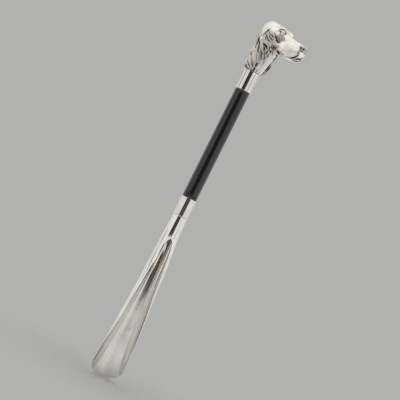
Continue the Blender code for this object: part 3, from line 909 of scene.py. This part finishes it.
# Tufts down the back, as (degrees from the nose, height).
BACK_TUFTS = [
    (2.4, 0.8, 3, [(180, 58), (176, 50), (182, 42), (178, 33)]),
    (2.4, 0.8, 3, [(160, 57), (166, 49), (162, 41), (167, 32)]),
    (2.4, 0.8, 3, [(-160, 56), (-166, 48), (-162, 40), (-167, 31)]),
    (2.4, 0.8, 3, [(174, 38), (180, 30), (176, 22), (181, 13)]),
    (2.3, 0.8, 3, [(156, 38), (161, 30), (157, 22), (161, 13)]),
    (2.3, 0.8, 3, [(-156, 37), (-161, 29), (-157, 21), (-161, 12)]),
    (2.2, 0.8, 3, [(-172, 26), (-167, 18), (-171, 10), (-168, 2)]),
    (2.2, 0.8, 3, [(168, 20), (174, 13), (170, 7), (173, 1)]),
    (2.0, 0.8, 2, [(-150, 18), (-154, 12), (-150, 6), (-153, 1)]),
    (2.0, 0.8, 2, [(150, 18), (154, 12), (150, 6), (153, 1)]),
]


# Outlines, in the drawing's grid, clockwise: the front of the lip and the middle of the muzzle, where shade is painted;
# the nose's pad; and the flat of the cheek, where a reflection is painted.
LIP_PAINTED_SHADE = [(31.2, 181.0), (33.2, 178.6), (33.0, 175.8), (30.8, 177.4)]
MUZZLE_PAINTED_SHADE = [(16.5, 181.5), (27.0, 182.5), (28.5, 177.0), (24.0, 174.0), (16.5, 175.0)]
NOSE = [(30.6, 186.4), (40.0, 186.4), (40.0, 180.4), (33.2, 180.2), (30.6, 182.4)]
CHEEK_PAINTED_REFLECTION = [(7.4, 188.2), (11.6, 188.2), (14.9, 184.4), (10.2, 178.4), (8.6, 178.8), (4.9, 182.8)]


def groove(clay, pts, r, k=0.3, ink=None, strength=1.0):
    """A round-bottomed line cut along points, thinner towards its ends; when a list is given, the shade painted along
    the line is added to it.
    """
    width = r * (0.45 + 0.55 * np.sin(math.pi * (0.12 + 0.82 * np.linspace(0, 1, len(pts)))))
    for a, b, ra, rb in zip(pts[:-1], pts[1:], width[:-1], width[1:]):
        clay.cut(post(a, b, ra, rb), k=k)
    if ink is not None:
        ends = np.sin(math.pi * np.linspace(0.02, 0.98, len(pts)))
        ink.append((pts, width * 1.22 + 0.14, strength * (0.68 + 0.32 * ends)))


def ridge(clay, pts, r, k=0.4):
    for a, b in zip(pts[:-1], pts[1:]):
        clay.add(post(a, b, r, r), k=k)


# Lines engraved between the tufts: cut radius, depth below the surface, darkness of the shade painted along the line,
# path in the drawing's grid.
LINES = [
    # behind and over the ear
    (1.0, 0.3, 1.0, [(-3.2, 187.8), (-4.7, 184.8), (-6.0, 182.2), (-6.7, 179.8), (-6.7, 177.4)]),
    # strokes on the upper ear
    (0.8, 0.3, 0.9, [(-5.4, 181.6), (-3.2, 179.4), (-1.0, 177.6), (1.5, 176.2)]),
    (0.9, 0.3, 1.0, [(0.4, 183.0), (1.8, 182.0), (3.3, 180.9)]),
    (0.8, 0.3, 1.0, [(-1.2, 181.0), (1.4, 179.4), (4.5, 178.0)]),
    (0.8, 0.3, 0.9, [(-0.6, 176.2), (0.6, 176.2), (2.2, 176.2)]),
    (0.6, 0.3, 0.7, [(-2.0, 183.2), (-0.8, 182.2), (0.2, 181.6)]),
    (0.6, 0.3, 0.7, [(-4.6, 178.4), (-3.4, 177.0), (-2.2, 175.4)]),
    # front edge of the ear
    (0.9, 0.4, 1.0, [(4.2, 183.9), (6.1, 181.8), (8.0, 179.6), (9.9, 178.7), (11.5, 179.7)]),
    # curl
    (0.9, 0.4, 0.9, [(5.8, 173.6), (7.4, 173.6), (8.2, 172.2), (7.4, 170.6), (5.8, 170.8)]),
    # behind the ear, lower
    (1.1, 0.4, 1.0, [(-9.6, 175.2), (-8.9, 173.4), (-8.5, 171.2), (-8.9, 168.2), (-8.7, 165.2), (-8.2, 163.8)]),
    (1.0, 0.4, 1.0, [(-8.5, 172.2), (-6.6, 170.6), (-5.4, 167.4), (-5.2, 163.4), (-3.2, 160.6)]),
    # hollow in the middle
    (1.2, 0.5, 1.0, [(-3.2, 171.2), (-1.2, 170.6), (0.6, 170.0), (2.6, 168.2)]),
    (1.0, 0.4, 1.0, [(-0.8, 168.8), (0.3, 166.8), (0.8, 165.4)]),
    (0.7, 0.3, 0.9, [(5.4, 168.6), (6.4, 167.6), (6.8, 166.8)]),
    # front edge, down to the throat
    (0.9, 0.5, 0.95, [(4.6, 169.4), (4.2, 166.0), (4.1, 162.6), (4.3, 159.2), (3.9, 156.2)]),
    (0.8, 0.3, 0.9, [(-2.6, 165.2), (-1.0, 162.2), (0.8, 159.0), (2.6, 155.6)]),
    (0.7, 0.3, 0.8, [(1.8, 165.0), (2.8, 162.4), (3.3, 159.4)]),
    (0.6, 0.3, 0.5, [(-5.0, 160.2), (-3.6, 156.6), (-1.6, 152.8)]),
    (0.5, 0.3, 0.4, [(-9.4, 161.0), (-8.2, 156.6), (-6.2, 152.0)]),
    # lower tufts
    (0.8, 0.3, 0.9, [(-10.2, 150.2), (-8.4, 147.8), (-6.6, 145.8), (-5.2, 144.6)]),
    (1.1, 0.4, 1.0, [(-10.0, 145.2), (-8.2, 143.4), (-6.4, 142.2), (-4.8, 141.7)]),
    (0.9, 0.3, 0.9, [(-4.8, 148.4), (-3.4, 146.8), (-2.0, 145.9)]),
    (1.2, 0.5, 1.0, [(-0.2, 150.4), (0.2, 147.4), (0.2, 144.6), (-0.2, 142.0)]),
    (1.0, 0.4, 1.0, [(-2.8, 141.9), (-1.2, 141.7), (0.6, 141.6), (1.8, 141.7)]),
    (0.6, 0.3, 0.7, [(-6.6, 152.4), (-5.2, 149.6), (-3.6, 147.8)]),
    (0.7, 0.3, 0.6, [(2.4, 143.6), (3.5, 143.0), (4.4, 143.4)]),
    # the far ear's hollow, beside the throat
    (0.7, 0.3, 0.9, [(12.9, 156.6), (12.3, 153.6), (11.4, 150.0), (10.6, 146.6)]),
    (1.0, 0.4, 1.0, [(13.6, 152.8), (13.0, 149.6), (12.0, 146.2)]),
    (0.7, 0.3, 0.9, [(14.2, 149.4), (13.2, 145.8), (11.6, 143.2)]),
]
# Lines on the face.
FACE_LINES = [
    # crease over the eye
    (0.75, 0.25, 0.7, [(4.8, 188.4), (5.6, 190.3), (6.9, 192.0), (9.3, 192.9), (11.9, 191.8), (13.6, 189.8)]),
    # brow to ear
    (0.5, 0.1, 0.5, [(1.6, 188.2), (2.6, 187.8), (4.0, 188.4)]),
    # front edge of the hanging lip, and the mouth
    (0.95, 0.4, 1.0, [(33.0, 176.4), (30.8, 173.1), (28.4, 170.8), (26.3, 169.4)]),
    (0.95, 0.4, 1.0, [(32.2, 171.6), (34.0, 172.7), (36.2, 173.3), (37.4, 174.3), (37.8, 176.2)]),
    (0.7, 0.3, 0.7, [(29.0, 168.9), (33.0, 169.4), (36.0, 170.8), (37.8, 172.6)]),
    # wing of the nose and the cleft under it
    (0.8, 0.3, 1.0, [(31.3, 184.8), (32.4, 184.0), (33.8, 183.9)]),
    (0.8, 0.3, 0.9, [(33.4, 181.6), (34.3, 181.2), (35.2, 181.1)]),
    # under the lips
    (0.9, 0.3, 0.8, [(18.2, 170.4), (19.2, 170.2), (20.2, 169.8)]),
]


def mirrored(P, side):
    P = np.array(P, float)
    return P * (1, -side, 1) if side > 0 else P


def face(clay, ink):
    A, C = clay.add, clay.cut
    eye, = seen(clay, [(9.7, 190.6)])
    corners = [seen(clay, [(7.0, 189.5), (7.6, 189.4)]), seen(clay, [(12.1, 190.3), (12.8, 189.9)])]
    lower = seen(clay, spline([(5.6, 188.6), (8.8, 187.8), (12.4, 188.7)], 7))
    for s in (-1, 1):
        # nostril, with shade painted in it
        x, y, z = (61.4, -2.4, 54.9) if s < 0 else (60.4, 4.0, 54.6)
        C(egg((x, y, z), (1.9, 1.1, 1.1), yaw=35 * s), 0.4)
        ink.append((np.array([[x + 0.2, y, z], [x - 2.4, y + s, z - 0.1]]), 1.6, 1.0))
        # eye: a shallow socket, the ball, the lower lid, and the corners, cut and with shade painted in them
        x, y, z = mirrored(eye, s)
        C(egg((x, y + 0.5 * np.sign(y), z), (3.6, 1.6, 2.2), yaw=-16 * s, pitch=6), 0.8)
        A(egg((x, y - 1.3 * np.sign(y), z - 0.2), (2.4, 2.3, 1.8)), 0.2)
        ridge(clay, mirrored(lower, s), 0.6, 0.5)
        for corner in corners:
            a, b = mirrored(corner, s)
            C(post(a, b, 0.75, 0.75), 0.4)
            ink.append((np.array([a, b]), 1.0, 1.0))
        # the deep corner under the lips, with shade painted in it, and the fold over it
        pit, = seen(clay, [(14.0, 170.0)], side=s)
        C(egg(pit, (2.7, 2.0, 1.4)), 0.5)
        inner = pit - (0, 1.0 * np.sign(pit[1]), 0)
        ink.append((np.array([inner - (1.3, 0, 0), inner + (1.3, 0, 0)]), 2.1, 1.0))
        fold = seen(clay, spline([(9.6, 171.0), (11.6, 172.4), (14.2, 172.5), (16.6, 171.2)], 7), side=s)
        ridge(clay, fold, 1.0, 0.8)
    field = clay.d.copy()
    for side in (-1, 1):
        for r, deep, dark, path in FACE_LINES:
            P = smoothed(seen(clay, spline(path, 13), side, field), 1)
            if side > 0:
                P = P[P[:, 1] > 1.0]
            if len(P) < 3:
                continue
            P = P + slope(clay, P, field) * (0.55 * r - deep)
            groove(clay, P, r, k=0.4, ink=ink, strength=dark)


def hound(step=0.4):
    """Vertices (mm), quads, and for each vertex, 0 to 1: how deep in a recess it is, how much shade is painted on it,
    and how much greyer duller metal, painted shade and a painted reflection make it.
    """
    rng = np.random.RandomState(11)
    clay = Clay((-22, -24, -1.2), (65, 24, 74), step)
    ink = []
    masses(clay)
    clay.add(post((16.6, 0.4, 31.0), (10.4, 0.4, 5.0), 4.8, 4.4), k=3.0)
    bare = clay.d.copy()
    coat_masses(clay)
    face(clay, ink)
    base = clay.d.copy()
    for side in (-1, 1):
        for number, (w, lift, strands, path) in enumerate(TUFTS):
            if side > 0:
                path = [(t + rng.uniform(-0.4, 0.4), s + rng.uniform(-0.7, 0.7)) for t, s in path]
                w *= rng.uniform(0.92, 1.08)
            tuft(clay, base, seen(clay, spline(path, 15), side, base), w, lift * 0.8, strands, seed=0.7 * number)
    for number, (w, lift, strands, path) in enumerate(BACK_TUFTS):
        angles = np.degrees(np.unwrap(np.radians([p[0] for p in path])))
        pts = spline([(a, p[1]) for a, p in zip(angles, path)], 15)
        tuft(clay, base, laid(clay, pts[:, 0], pts[:, 1], base)[0], w, lift, strands, seed=0.9 * number)
    # the ear's rolled upper edge
    for side in (-1, 1):
        ridge(clay, seen(clay, spline([(-4.6, 184.8), (-3.0, 186.4), (0.4, 186.2), (3.6, 185.2), (6.0, 184.0)], 9), side, base), 1.5, 1.4)
    coat = clay.d.copy()
    for side in (-1, 1):
        for r, deep, dark, path in LINES:
            P = smoothed(seen(clay, spline(path, 9), side, coat), 1)
            P = P + slope(clay, P, coat) * (0.55 * r - deep)
            groove(clay, P, 0.86 * r, k=0.3, ink=ink, strength=0.9 * dark)
    # the neck's flat base and its bore
    Z = clay.axes[2][None, None, :]
    clay.d = np.maximum(clay.d, -Z - 0.0)
    clay.cut(post((0, 0, -6), (0, 0, 8), 6.64, 6.64))
    verts, quads = skin(clay)
    recess = np.clip(-clay.at(verts, clay.softened(1.1)) / 0.42, 0, 1)
    # the face is polished all over: only its engraved lines are dark
    across = (verts[:, 0] * math.cos(TURN) - np.abs(verts[:, 1]) * math.sin(TURN)) / CELL - 0.45
    up = 141 + (verts[:, 2] + np.abs(verts[:, 1]) * math.cos(TURN) * (178 + verts[:, 2]) / 1800) / CELL
    recess *= 1 - np.clip((across - 9.5) / 3, 0, 1) * np.clip((up - 168.5) / 2.5, 0, 1)
    recess *= 1 - np.clip((up - 185.5) / 2.5, 0, 1)
    # nor is the gap between throat and ear
    recess *= 1 - np.clip((across - 4.5) / 1.5, 0, 1) * np.clip((up - 150) / 4, 0, 1)
    # painted shade: dark painted along the engraved lines, in the eye's corners, in the nostrils and in the corner
    # under the lips
    dark = np.zeros(len(verts))
    for pts, r, strength in ink:
        pts = np.asarray(pts, float)
        r = np.broadcast_to(np.asarray(r, float), len(pts))
        strength = np.broadcast_to(np.asarray(strength, float), len(pts))
        low, high = pts.min(0) - r.max() - 1.6, pts.max(0) + r.max() + 1.6
        near = np.where(((verts > low) & (verts < high)).all(1))[0]
        V = verts[near]
        for a, b, ra, rb, sa, sb in zip(pts[:-1], pts[1:], r[:-1], r[1:], strength[:-1], strength[1:]):
            ab = b - a
            t = np.clip(((V - a) @ ab) / (ab @ ab + 1e-9), 0, 1)
            rr = ra + (rb - ra) * t
            off = np.linalg.norm(V - a - t[:, None] * ab, axis=1)
            full = sa + (sb - sa) * t
            dark[near] = np.maximum(dark[near], full * np.clip((rr - off) / (0.27 * rr), 0, 1))
            # painted shade: a breath of the same dark round the line
            dark[near] = np.maximum(dark[near], 0.30 * full * np.clip((rr + 1.3 - off) / 1.6, 0, 1))
    # greyer metal: a painted reflection on the flat of the cheek, painted shade on the front of the lip and the middle
    # of the muzzle, and duller metal on the nose's pad and the coat, which the polishing wheel does not reach
    dull_and_painted_light = np.zeros(len(verts))
    for outline, amount, soft in ((CHEEK_PAINTED_REFLECTION, 1.0, 1.5), (NOSE, 0.75, 1.4), (LIP_PAINTED_SHADE, 0.9, 1.2), (MUZZLE_PAINTED_SHADE, 0.3, 4.0)):
        patch = np.ones(len(verts))
        for (t0, s0), (t1, s1) in zip(outline, outline[1:] + outline[:1]):
            off = ((t1 - t0) * (up - s0) - (s1 - s0) * (across - t0)) / math.hypot(t1 - t0, s1 - s0)
            patch = np.minimum(patch, np.clip(0.5 - off / soft, 0, 1))
        dull_and_painted_light = np.maximum(dull_and_painted_light, amount * patch * (np.abs(verts[:, 1]) > (4 if outline is CHEEK_PAINTED_REFLECTION else -1)))
    fur = np.clip(clay.at(verts, bare) / 1.4, 0, 1) * np.clip((187.5 - up) / 4, 0, 1)
    dull_and_painted_light = np.maximum(dull_and_painted_light, 0.6 * fur)
    # the head is carried nose-down: a shear that leaves the neck's base flat
    share = np.clip((verts[:, 2] - 5) / 30, 0, 1)
    verts[:, 2] -= verts[:, 0] * (0.0622 + 0.00035 * verts[:, 2]) * share * share * (3 - 2 * share)
    return verts, quads, recess, dark, dull_and_painted_light


def build_head():
    verts, quads, recess, ink, dull_and_painted_light = hound(0.4)
    a = math.radians(HEAD_CLOCK)
    v = verts * HEAD_SCALE
    world = np.stack([v[:, 0] * math.cos(a) - v[:, 1] * math.sin(a), v[:, 0] * math.sin(a) + v[:, 1] * math.cos(a), v[:, 2] + TOP + GAP], 1)
    obj = add_mesh("hound_head", world, quads, SILVER, "head", ("head_casting",), "head_silver", sharp=None)
    # attributes for the material: oxide in the recesses, painted shade marks, and greyer metal from dull metal, painted
    # shade and a painted reflection
    for name, values in (("recess", recess), ("ink", ink), ("dull_and_painted_light", dull_and_painted_light)):
        layer = obj.data.attributes.new(name, "FLOAT", "POINT")
        layer.data.foreach_set("value", np.asarray(values, np.float32))
    return obj


build_head()


# ---------------------------------------------------------------- shaft and ferrules
def build_shaft():
    top_end, low_end = SHAFT_HALF + 22.5, -(SHAFT_HALF + 21.5)
    deep = 21.0
    outer = [
        (5.3, top_end), (8.05, top_end), (8.55, top_end - 0.5), (8.55, SHAFT_HALF + 0.05),
    ]
    # the eased shoulders of the lacquered length
    for j in range(6):
        t = math.pi / 2 * j / 5
        outer.append((SHAFT_R - 0.35 + 0.35 * math.sin(t), SHAFT_HALF - 0.35 + 0.35 * math.cos(t)))
    steps = 24
    for j in range(1, steps):
        outer.append((SHAFT_R, (SHAFT_HALF - 0.35) * (1 - 2 * j / steps)))
    for j in range(6):
        t = math.pi / 2 * (1 - j / 5)
        outer.append((SHAFT_R - 0.35 + 0.35 * math.sin(t), -SHAFT_HALF + 0.35 - 0.35 * math.cos(t)))
    outer += [(8.55, -SHAFT_HALF - 0.05), (8.55, low_end + 0.5), (8.05, low_end), (5.3, low_end), (5.3, low_end + deep)]
    profile = [(0, top_end - deep), (5.3, top_end - deep)] + outer + [(0, low_end + deep)]
    solid_turning("lacquered_shaft", profile, BLACK, "handle", stands_for=("shaft",), slot="shaft_lacquer")


def build_ferrule(name, node, low, high, rim_high, rim_low):
    """A drawn tube whose two ends are eased over by different amounts."""
    corners = [(FERRULE_R, high), (FERRULE_R, low), (FERRULE_IN_R, low), (FERRULE_IN_R, high)]
    turning(name, rounded(corners, [rim_high, rim_low, 0.15, 0.15], 5), TUBE, "handle", stands_for=(node,), slot="ferrule_plate")


build_shaft()
build_ferrule("upper_sleeve", "upper_ferrule", SHAFT_HALF + GAP, TOP, 0.35, 0.35)
build_ferrule("lower_sleeve", "lower_ferrule", SEAM, -SHAFT_HALF - GAP, 0.35, 0.45)


# ---------------------------------------------------------------- threads
def thread_depth(turns):
    """Depth below the crest, as a share of the thread's height, at a position in turns along the pitch."""
    f = turns % 1.0
    return np.clip((np.abs(f - 0.5) * 2 - 0.12) / 0.72, 0, 1)


def build_stud(name, node):
    """An M8 stud with its thread cut as a real helix."""
    (x0, y0, low), (x1, y1, high) = [[c / MM for c in corner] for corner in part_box(node)]
    crest, height, around, rows_a_turn = 3.9, 0.68, 40, 10
    rows = int(round((high - low) / PITCH * rows_a_turn))
    verts, faces = [], []
    for i in range(rows + 1):
        z = low + (high - low) * i / rows
        end = min(z - low, high - z)
        for j in range(around):
            a = math.tau * j / around
            r = crest - height * float(thread_depth((z - low) / PITCH - a / math.tau))
            r = min(r, crest - 0.8 + end)
            verts.append((r * math.cos(a), r * math.sin(a), z))
    for i in range(rows):
        for j in range(around):
            k = (j + 1) % around
            faces.append((i * around + j, i * around + k, (i + 1) * around + k, (i + 1) * around + j))
    verts += [(0, 0, low), (0, 0, high)]
    for j in range(around):
        k = (j + 1) % around
        faces.append((len(verts) - 2, k, j))
        faces.append((len(verts) - 1, rows * around + j, rows * around + k))
    add_mesh(name, verts, faces, STEEL, "handle", (node,), "stud_steel", sharp=50)


build_stud("upper_threaded_stud", "upper_stud")
build_stud("lower_threaded_stud", "lower_stud")


def build_nut(name, node, profile, body, slot):
    """A turned brass piece whose bore is threaded: profile runs from the bore's top round the outside to its bottom."""
    (x0, y0, low), (x1, y1, high) = [[c / MM for c in corner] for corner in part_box(node)]
    around, rows_a_turn, root, height = 40, 10, 4.72, 0.55
    rows = int(round((high - low) / PITCH * rows_a_turn))
    verts, faces = [], []
    outline = rounded(profile, 0.18, 2)
    m = rows + 1 + len(outline)
    for j in range(around):
        a = math.tau * j / around
        for i in range(rows + 1):
            z = low + (high - low) * i / rows
            r = root - height * (1 - float(thread_depth((z - low) / PITCH - a / math.tau)))
            r = max(r, root - min(z - low, high - z) * 1.2)
            verts.append((r * math.cos(a), r * math.sin(a), z))
        verts += [(r * math.cos(a), r * math.sin(a), z) for r, z in outline]
    for j in range(around):
        k = (j + 1) % around
        for i in range(m):
            n = (i + 1) % m
            faces.append((j * m + i, k * m + i, k * m + n, j * m + n))
    add_mesh(name, verts, faces, BRASS, body, (node,), slot, sharp=50)


def nut_box(node):
    (x0, y0, low), (x1, y1, high) = [[c / MM for c in corner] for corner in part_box(node)]
    return low, high


low, high = nut_box("upper_insert")
build_nut("upper_thread_insert", "upper_insert", [(4.75, high), (5.0, high - 0.25), (5.0, low + 0.25), (4.75, low)], "handle", "insert_brass")
low, high = nut_box("lower_insert")
build_nut("lower_thread_insert", "lower_insert", [(4.75, high), (5.0, high - 0.25), (5.0, low + 0.25), (4.75, low)], "handle", "insert_brass")
low, high = nut_box("head_bush")
build_nut("head_thread_bush", "head_bush", [(6.4, high), (6.4, TOP), (8.3, TOP), (8.3, low)], "head", "bush_brass")
low, high = nut_box("blade_plug")
build_nut("blade_thread_plug", "blade_plug", [(8.3, high), (8.3, SEAM + 0.3), (7.85, SEAM + 0.3), (7.85, low)], "blade", "bush_brass")
for node, body, name in (("upper_washer", "upper_washer_body", "upper_fibre_washer"), ("lower_washer", "lower_washer_body", "lower_fibre_washer")):
    low, high = nut_box(node)
    turning(name, rounded([(8.0, high), (8.0, low), (4.55, low), (4.55, high)], 0.15, 3), FIBRE, body, steps=96, stands_for=(node,), slot="washer_fibre")


# ---------------------------------------------------------------- the scoop blade
BLADE_LEN = 229.0
BLADE_T = 1.2
APEX = 31.3  # where the tube opens
BLADE_WIDTH = [(0, 9.5), (12, 9.85), (23, 10.3), (31, 10.7), (46, 11.65), (62, 12.85), (81, 13.65), (100, 14.35), (116, 15.35), (131, 16.5), (155, 17.95), (170, 19.2), (186, 20.6), (208, 22.0), (229, 22.8)]
BLADE_BACK = [(0, -9.5), (16, -9.85), (31, -10.35), (38, -9.75), (45, -8.75), (55, -7.55), (65, -6.7), (75, -6.05), (90, -5.35), (105, -4.95), (120, -4.65), (150, -4.25), (190, -3.4), (208, -2.9), (229, -2.2)]
BLADE_WRAP = [(40.2, 153.6), (50, 148.5), (65, 143), (81, 138), (96, 132.5), (111, 126.5), (128, 119), (141, 112), (154, 104), (167, 95.5), (185, 84), (208, 70), (229, 62)]
TIP_DEPTH = 22.4
TIP_HALF = 22.1
TIP_POWER = 2.7


def eased(points, sigma, low=0.0, high=BLADE_LEN, step=0.5):
    """A smooth curve through rough points: straight interpolation, then a blur along the blade that holds the ends."""
    x = np.arange(low, high + step, step)
    y = np.interp(x, [p[0] for p in points], [p[1] for p in points])
    reach = int(3 * sigma / step)
    w = np.exp(-0.5 * (np.arange(-reach, reach + 1) * step / sigma) ** 2)
    w /= w.sum()
    y = np.convolve(np.concatenate([2 * y[0] - y[reach:0:-1], y, 2 * y[-1] - y[-2 : -reach - 2 : -1]]), w, mode="valid")
    return lambda d: float(np.interp(d, x, y))


WIDTH_AT = eased(BLADE_WIDTH, 9.0)
BACK_AT = eased(BLADE_BACK, 5.0)
WRAP_AT = eased(BLADE_WRAP, 8.0, low=BLADE_WRAP[0][0])


def section(d):
    """Radius, wrap half-angle (radians) and centre in front of the axis, d mm below the seam."""
    half = WIDTH_AT(d)
    first = BLADE_WRAP[0][0]
    if d <= APEX:
        wrap = math.pi
    elif d < first:
        wrap = math.pi - (math.pi - math.radians(WRAP_AT(first))) * math.sqrt((d - APEX) / (first - APEX))
    else:
        wrap = math.radians(WRAP_AT(d))
    # the half-width is read at the widest point, so the radius grows once the arc is under half a turn
    r = half if wrap >= math.pi / 2 else half / math.sin(wrap)
    return r, wrap, BACK_AT(d) + r


def on_section(d, f):
    """Middle of the sheet at arc fraction f (-1 to 1): an arc whose last few millimetres curl in towards the opening."""
    r, wrap, centre = section(d)
    r -= BLADE_T / 2
    g = abs(f)
    curl = CURL * min(1.0, max(0.0, (d - APEX) / 5.0)) * min(1.0, max(0.0, (150.0 - d) / 50.0))
    end = max(wrap, RIM_FACES)
    if curl < 0.05 or end <= wrap:
        a = wrap * g
        x, y = r * math.sin(a), r * math.cos(a)
    else:
        band = curl / r
        # where the arc gives way to the curl, so that the rim stays as far across as it was
        steps = [(k + 0.5) / 12 for k in range(12)]
        low, high = wrap - 3 * band, wrap
        for _ in range(16):
            first = (low + high) / 2
            across = r * math.sin(first) + sum(math.cos(first + (end - first) * t) for t in steps) * curl / 12
            if across > r * math.sin(wrap):
                low = first
            else:
                high = first
        split = first / (first + band)
        if g <= split:
            a = first * g / split
            x, y = r * math.sin(a), r * math.cos(a)
        else:
            t1 = (g - split) / (1 - split)
            x, y = r * math.sin(first), r * math.cos(first)
            for k in range(12):
                a = first + (end - first) * t1 * steps[k]
                x += math.cos(a) * curl * t1 / 12
                y -= math.sin(a) * curl * t1 / 12
    return (math.copysign(x, f), -centre + y, SEAM - GAP - d)


CURL = 2.4
RIM_FACES = math.radians(166)


def tip_end(f):
    start = BLADE_LEN - TIP_DEPTH
    low, high = start, BLADE_LEN
    for _ in range(30):
        d = (low + high) / 2
        r, wrap, _centre = section(d)
        x = min(1.0, abs(r * math.sin(wrap * f)) / TIP_HALF)
        if d < start + TIP_DEPTH * (1 - x**TIP_POWER) ** (1 / TIP_POWER):
            low = d
        else:
            high = d
    return (low + high) / 2


def build_blade():
    """Middle surface of the sheet, then its thickness, then rounded edges."""
    first = BLADE_WRAP[0][0]
    last = BLADE_LEN - TIP_DEPTH - 20
    rows = [0.0, 0.35, 0.9] + list(np.linspace(2.0, APEX, 12))[:-1]
    rows += [APEX + (first - APEX) * (i / 10) ** 2 for i in range(10)]
    rows += list(np.linspace(first, last, 60))[:-1]
    columns, end = 72, 26
    points, index = [], {}
    grid = []

    def vertex(p):
        key = tuple(round(c, 3) for c in p)
        if key not in index:
            index[key] = len(points)
            points.append(p)
        return index[key]

    ends = {}
    total = len(rows) + end + 1
    for i in range(total):
        line = []
        for j in range(columns + 1):
            g = 2 * j / columns - 1
            share = min(1.0, i / len(rows)) ** 2
            f = (1 - share) * g + share * math.sin(math.pi / 2 * g)
            if i < len(rows):
                d = rows[i]
            else:
                if j not in ends:
                    ends[j] = tip_end(math.sin(math.pi / 2 * g))
                t = (i - len(rows)) / end
                d = last + (ends[j] - last) * (1 - (1 - t) ** 1.25)
            line.append(vertex(on_section(d, f)))
        grid.append(line)
    faces = []
    for i in range(total - 1):
        for j in range(columns):
            loop = [grid[i][j], grid[i + 1][j], grid[i + 1][j + 1], grid[i][j + 1]]
            loop = [v for n, v in enumerate(loop) if v != loop[n - 1]]
            if len(loop) >= 3:
                faces.append(loop)
    obj = add_mesh("scoop_blade", points, faces, SHEET, "blade", ("blade",), "blade_plate", sharp=None)
    sheet = obj.modifiers.new("sheet", "SOLIDIFY")
    sheet.thickness = BLADE_T * MM
    sheet.offset = 0
    sheet.use_even_offset = False
    edge = obj.modifiers.new("eased_edges", "BEVEL")
    edge.width = 0.42 * MM
    edge.segments = 3
    edge.limit_method = "ANGLE"
    edge.angle_limit = math.radians(50)
    edge.use_clamp_overlap = True
    # apply, so that the shaded normals are set on the finished surface
    bpy.context.view_layer.update()
    mesh = bpy.data.meshes.new_from_object(obj.evaluated_get(bpy.context.evaluated_depsgraph_get()))
    obj.modifiers.clear()
    obj.data = mesh
    mesh.shade_smooth()
    mesh.set_sharp_from_angle(angle=math.radians(60))


build_blade()
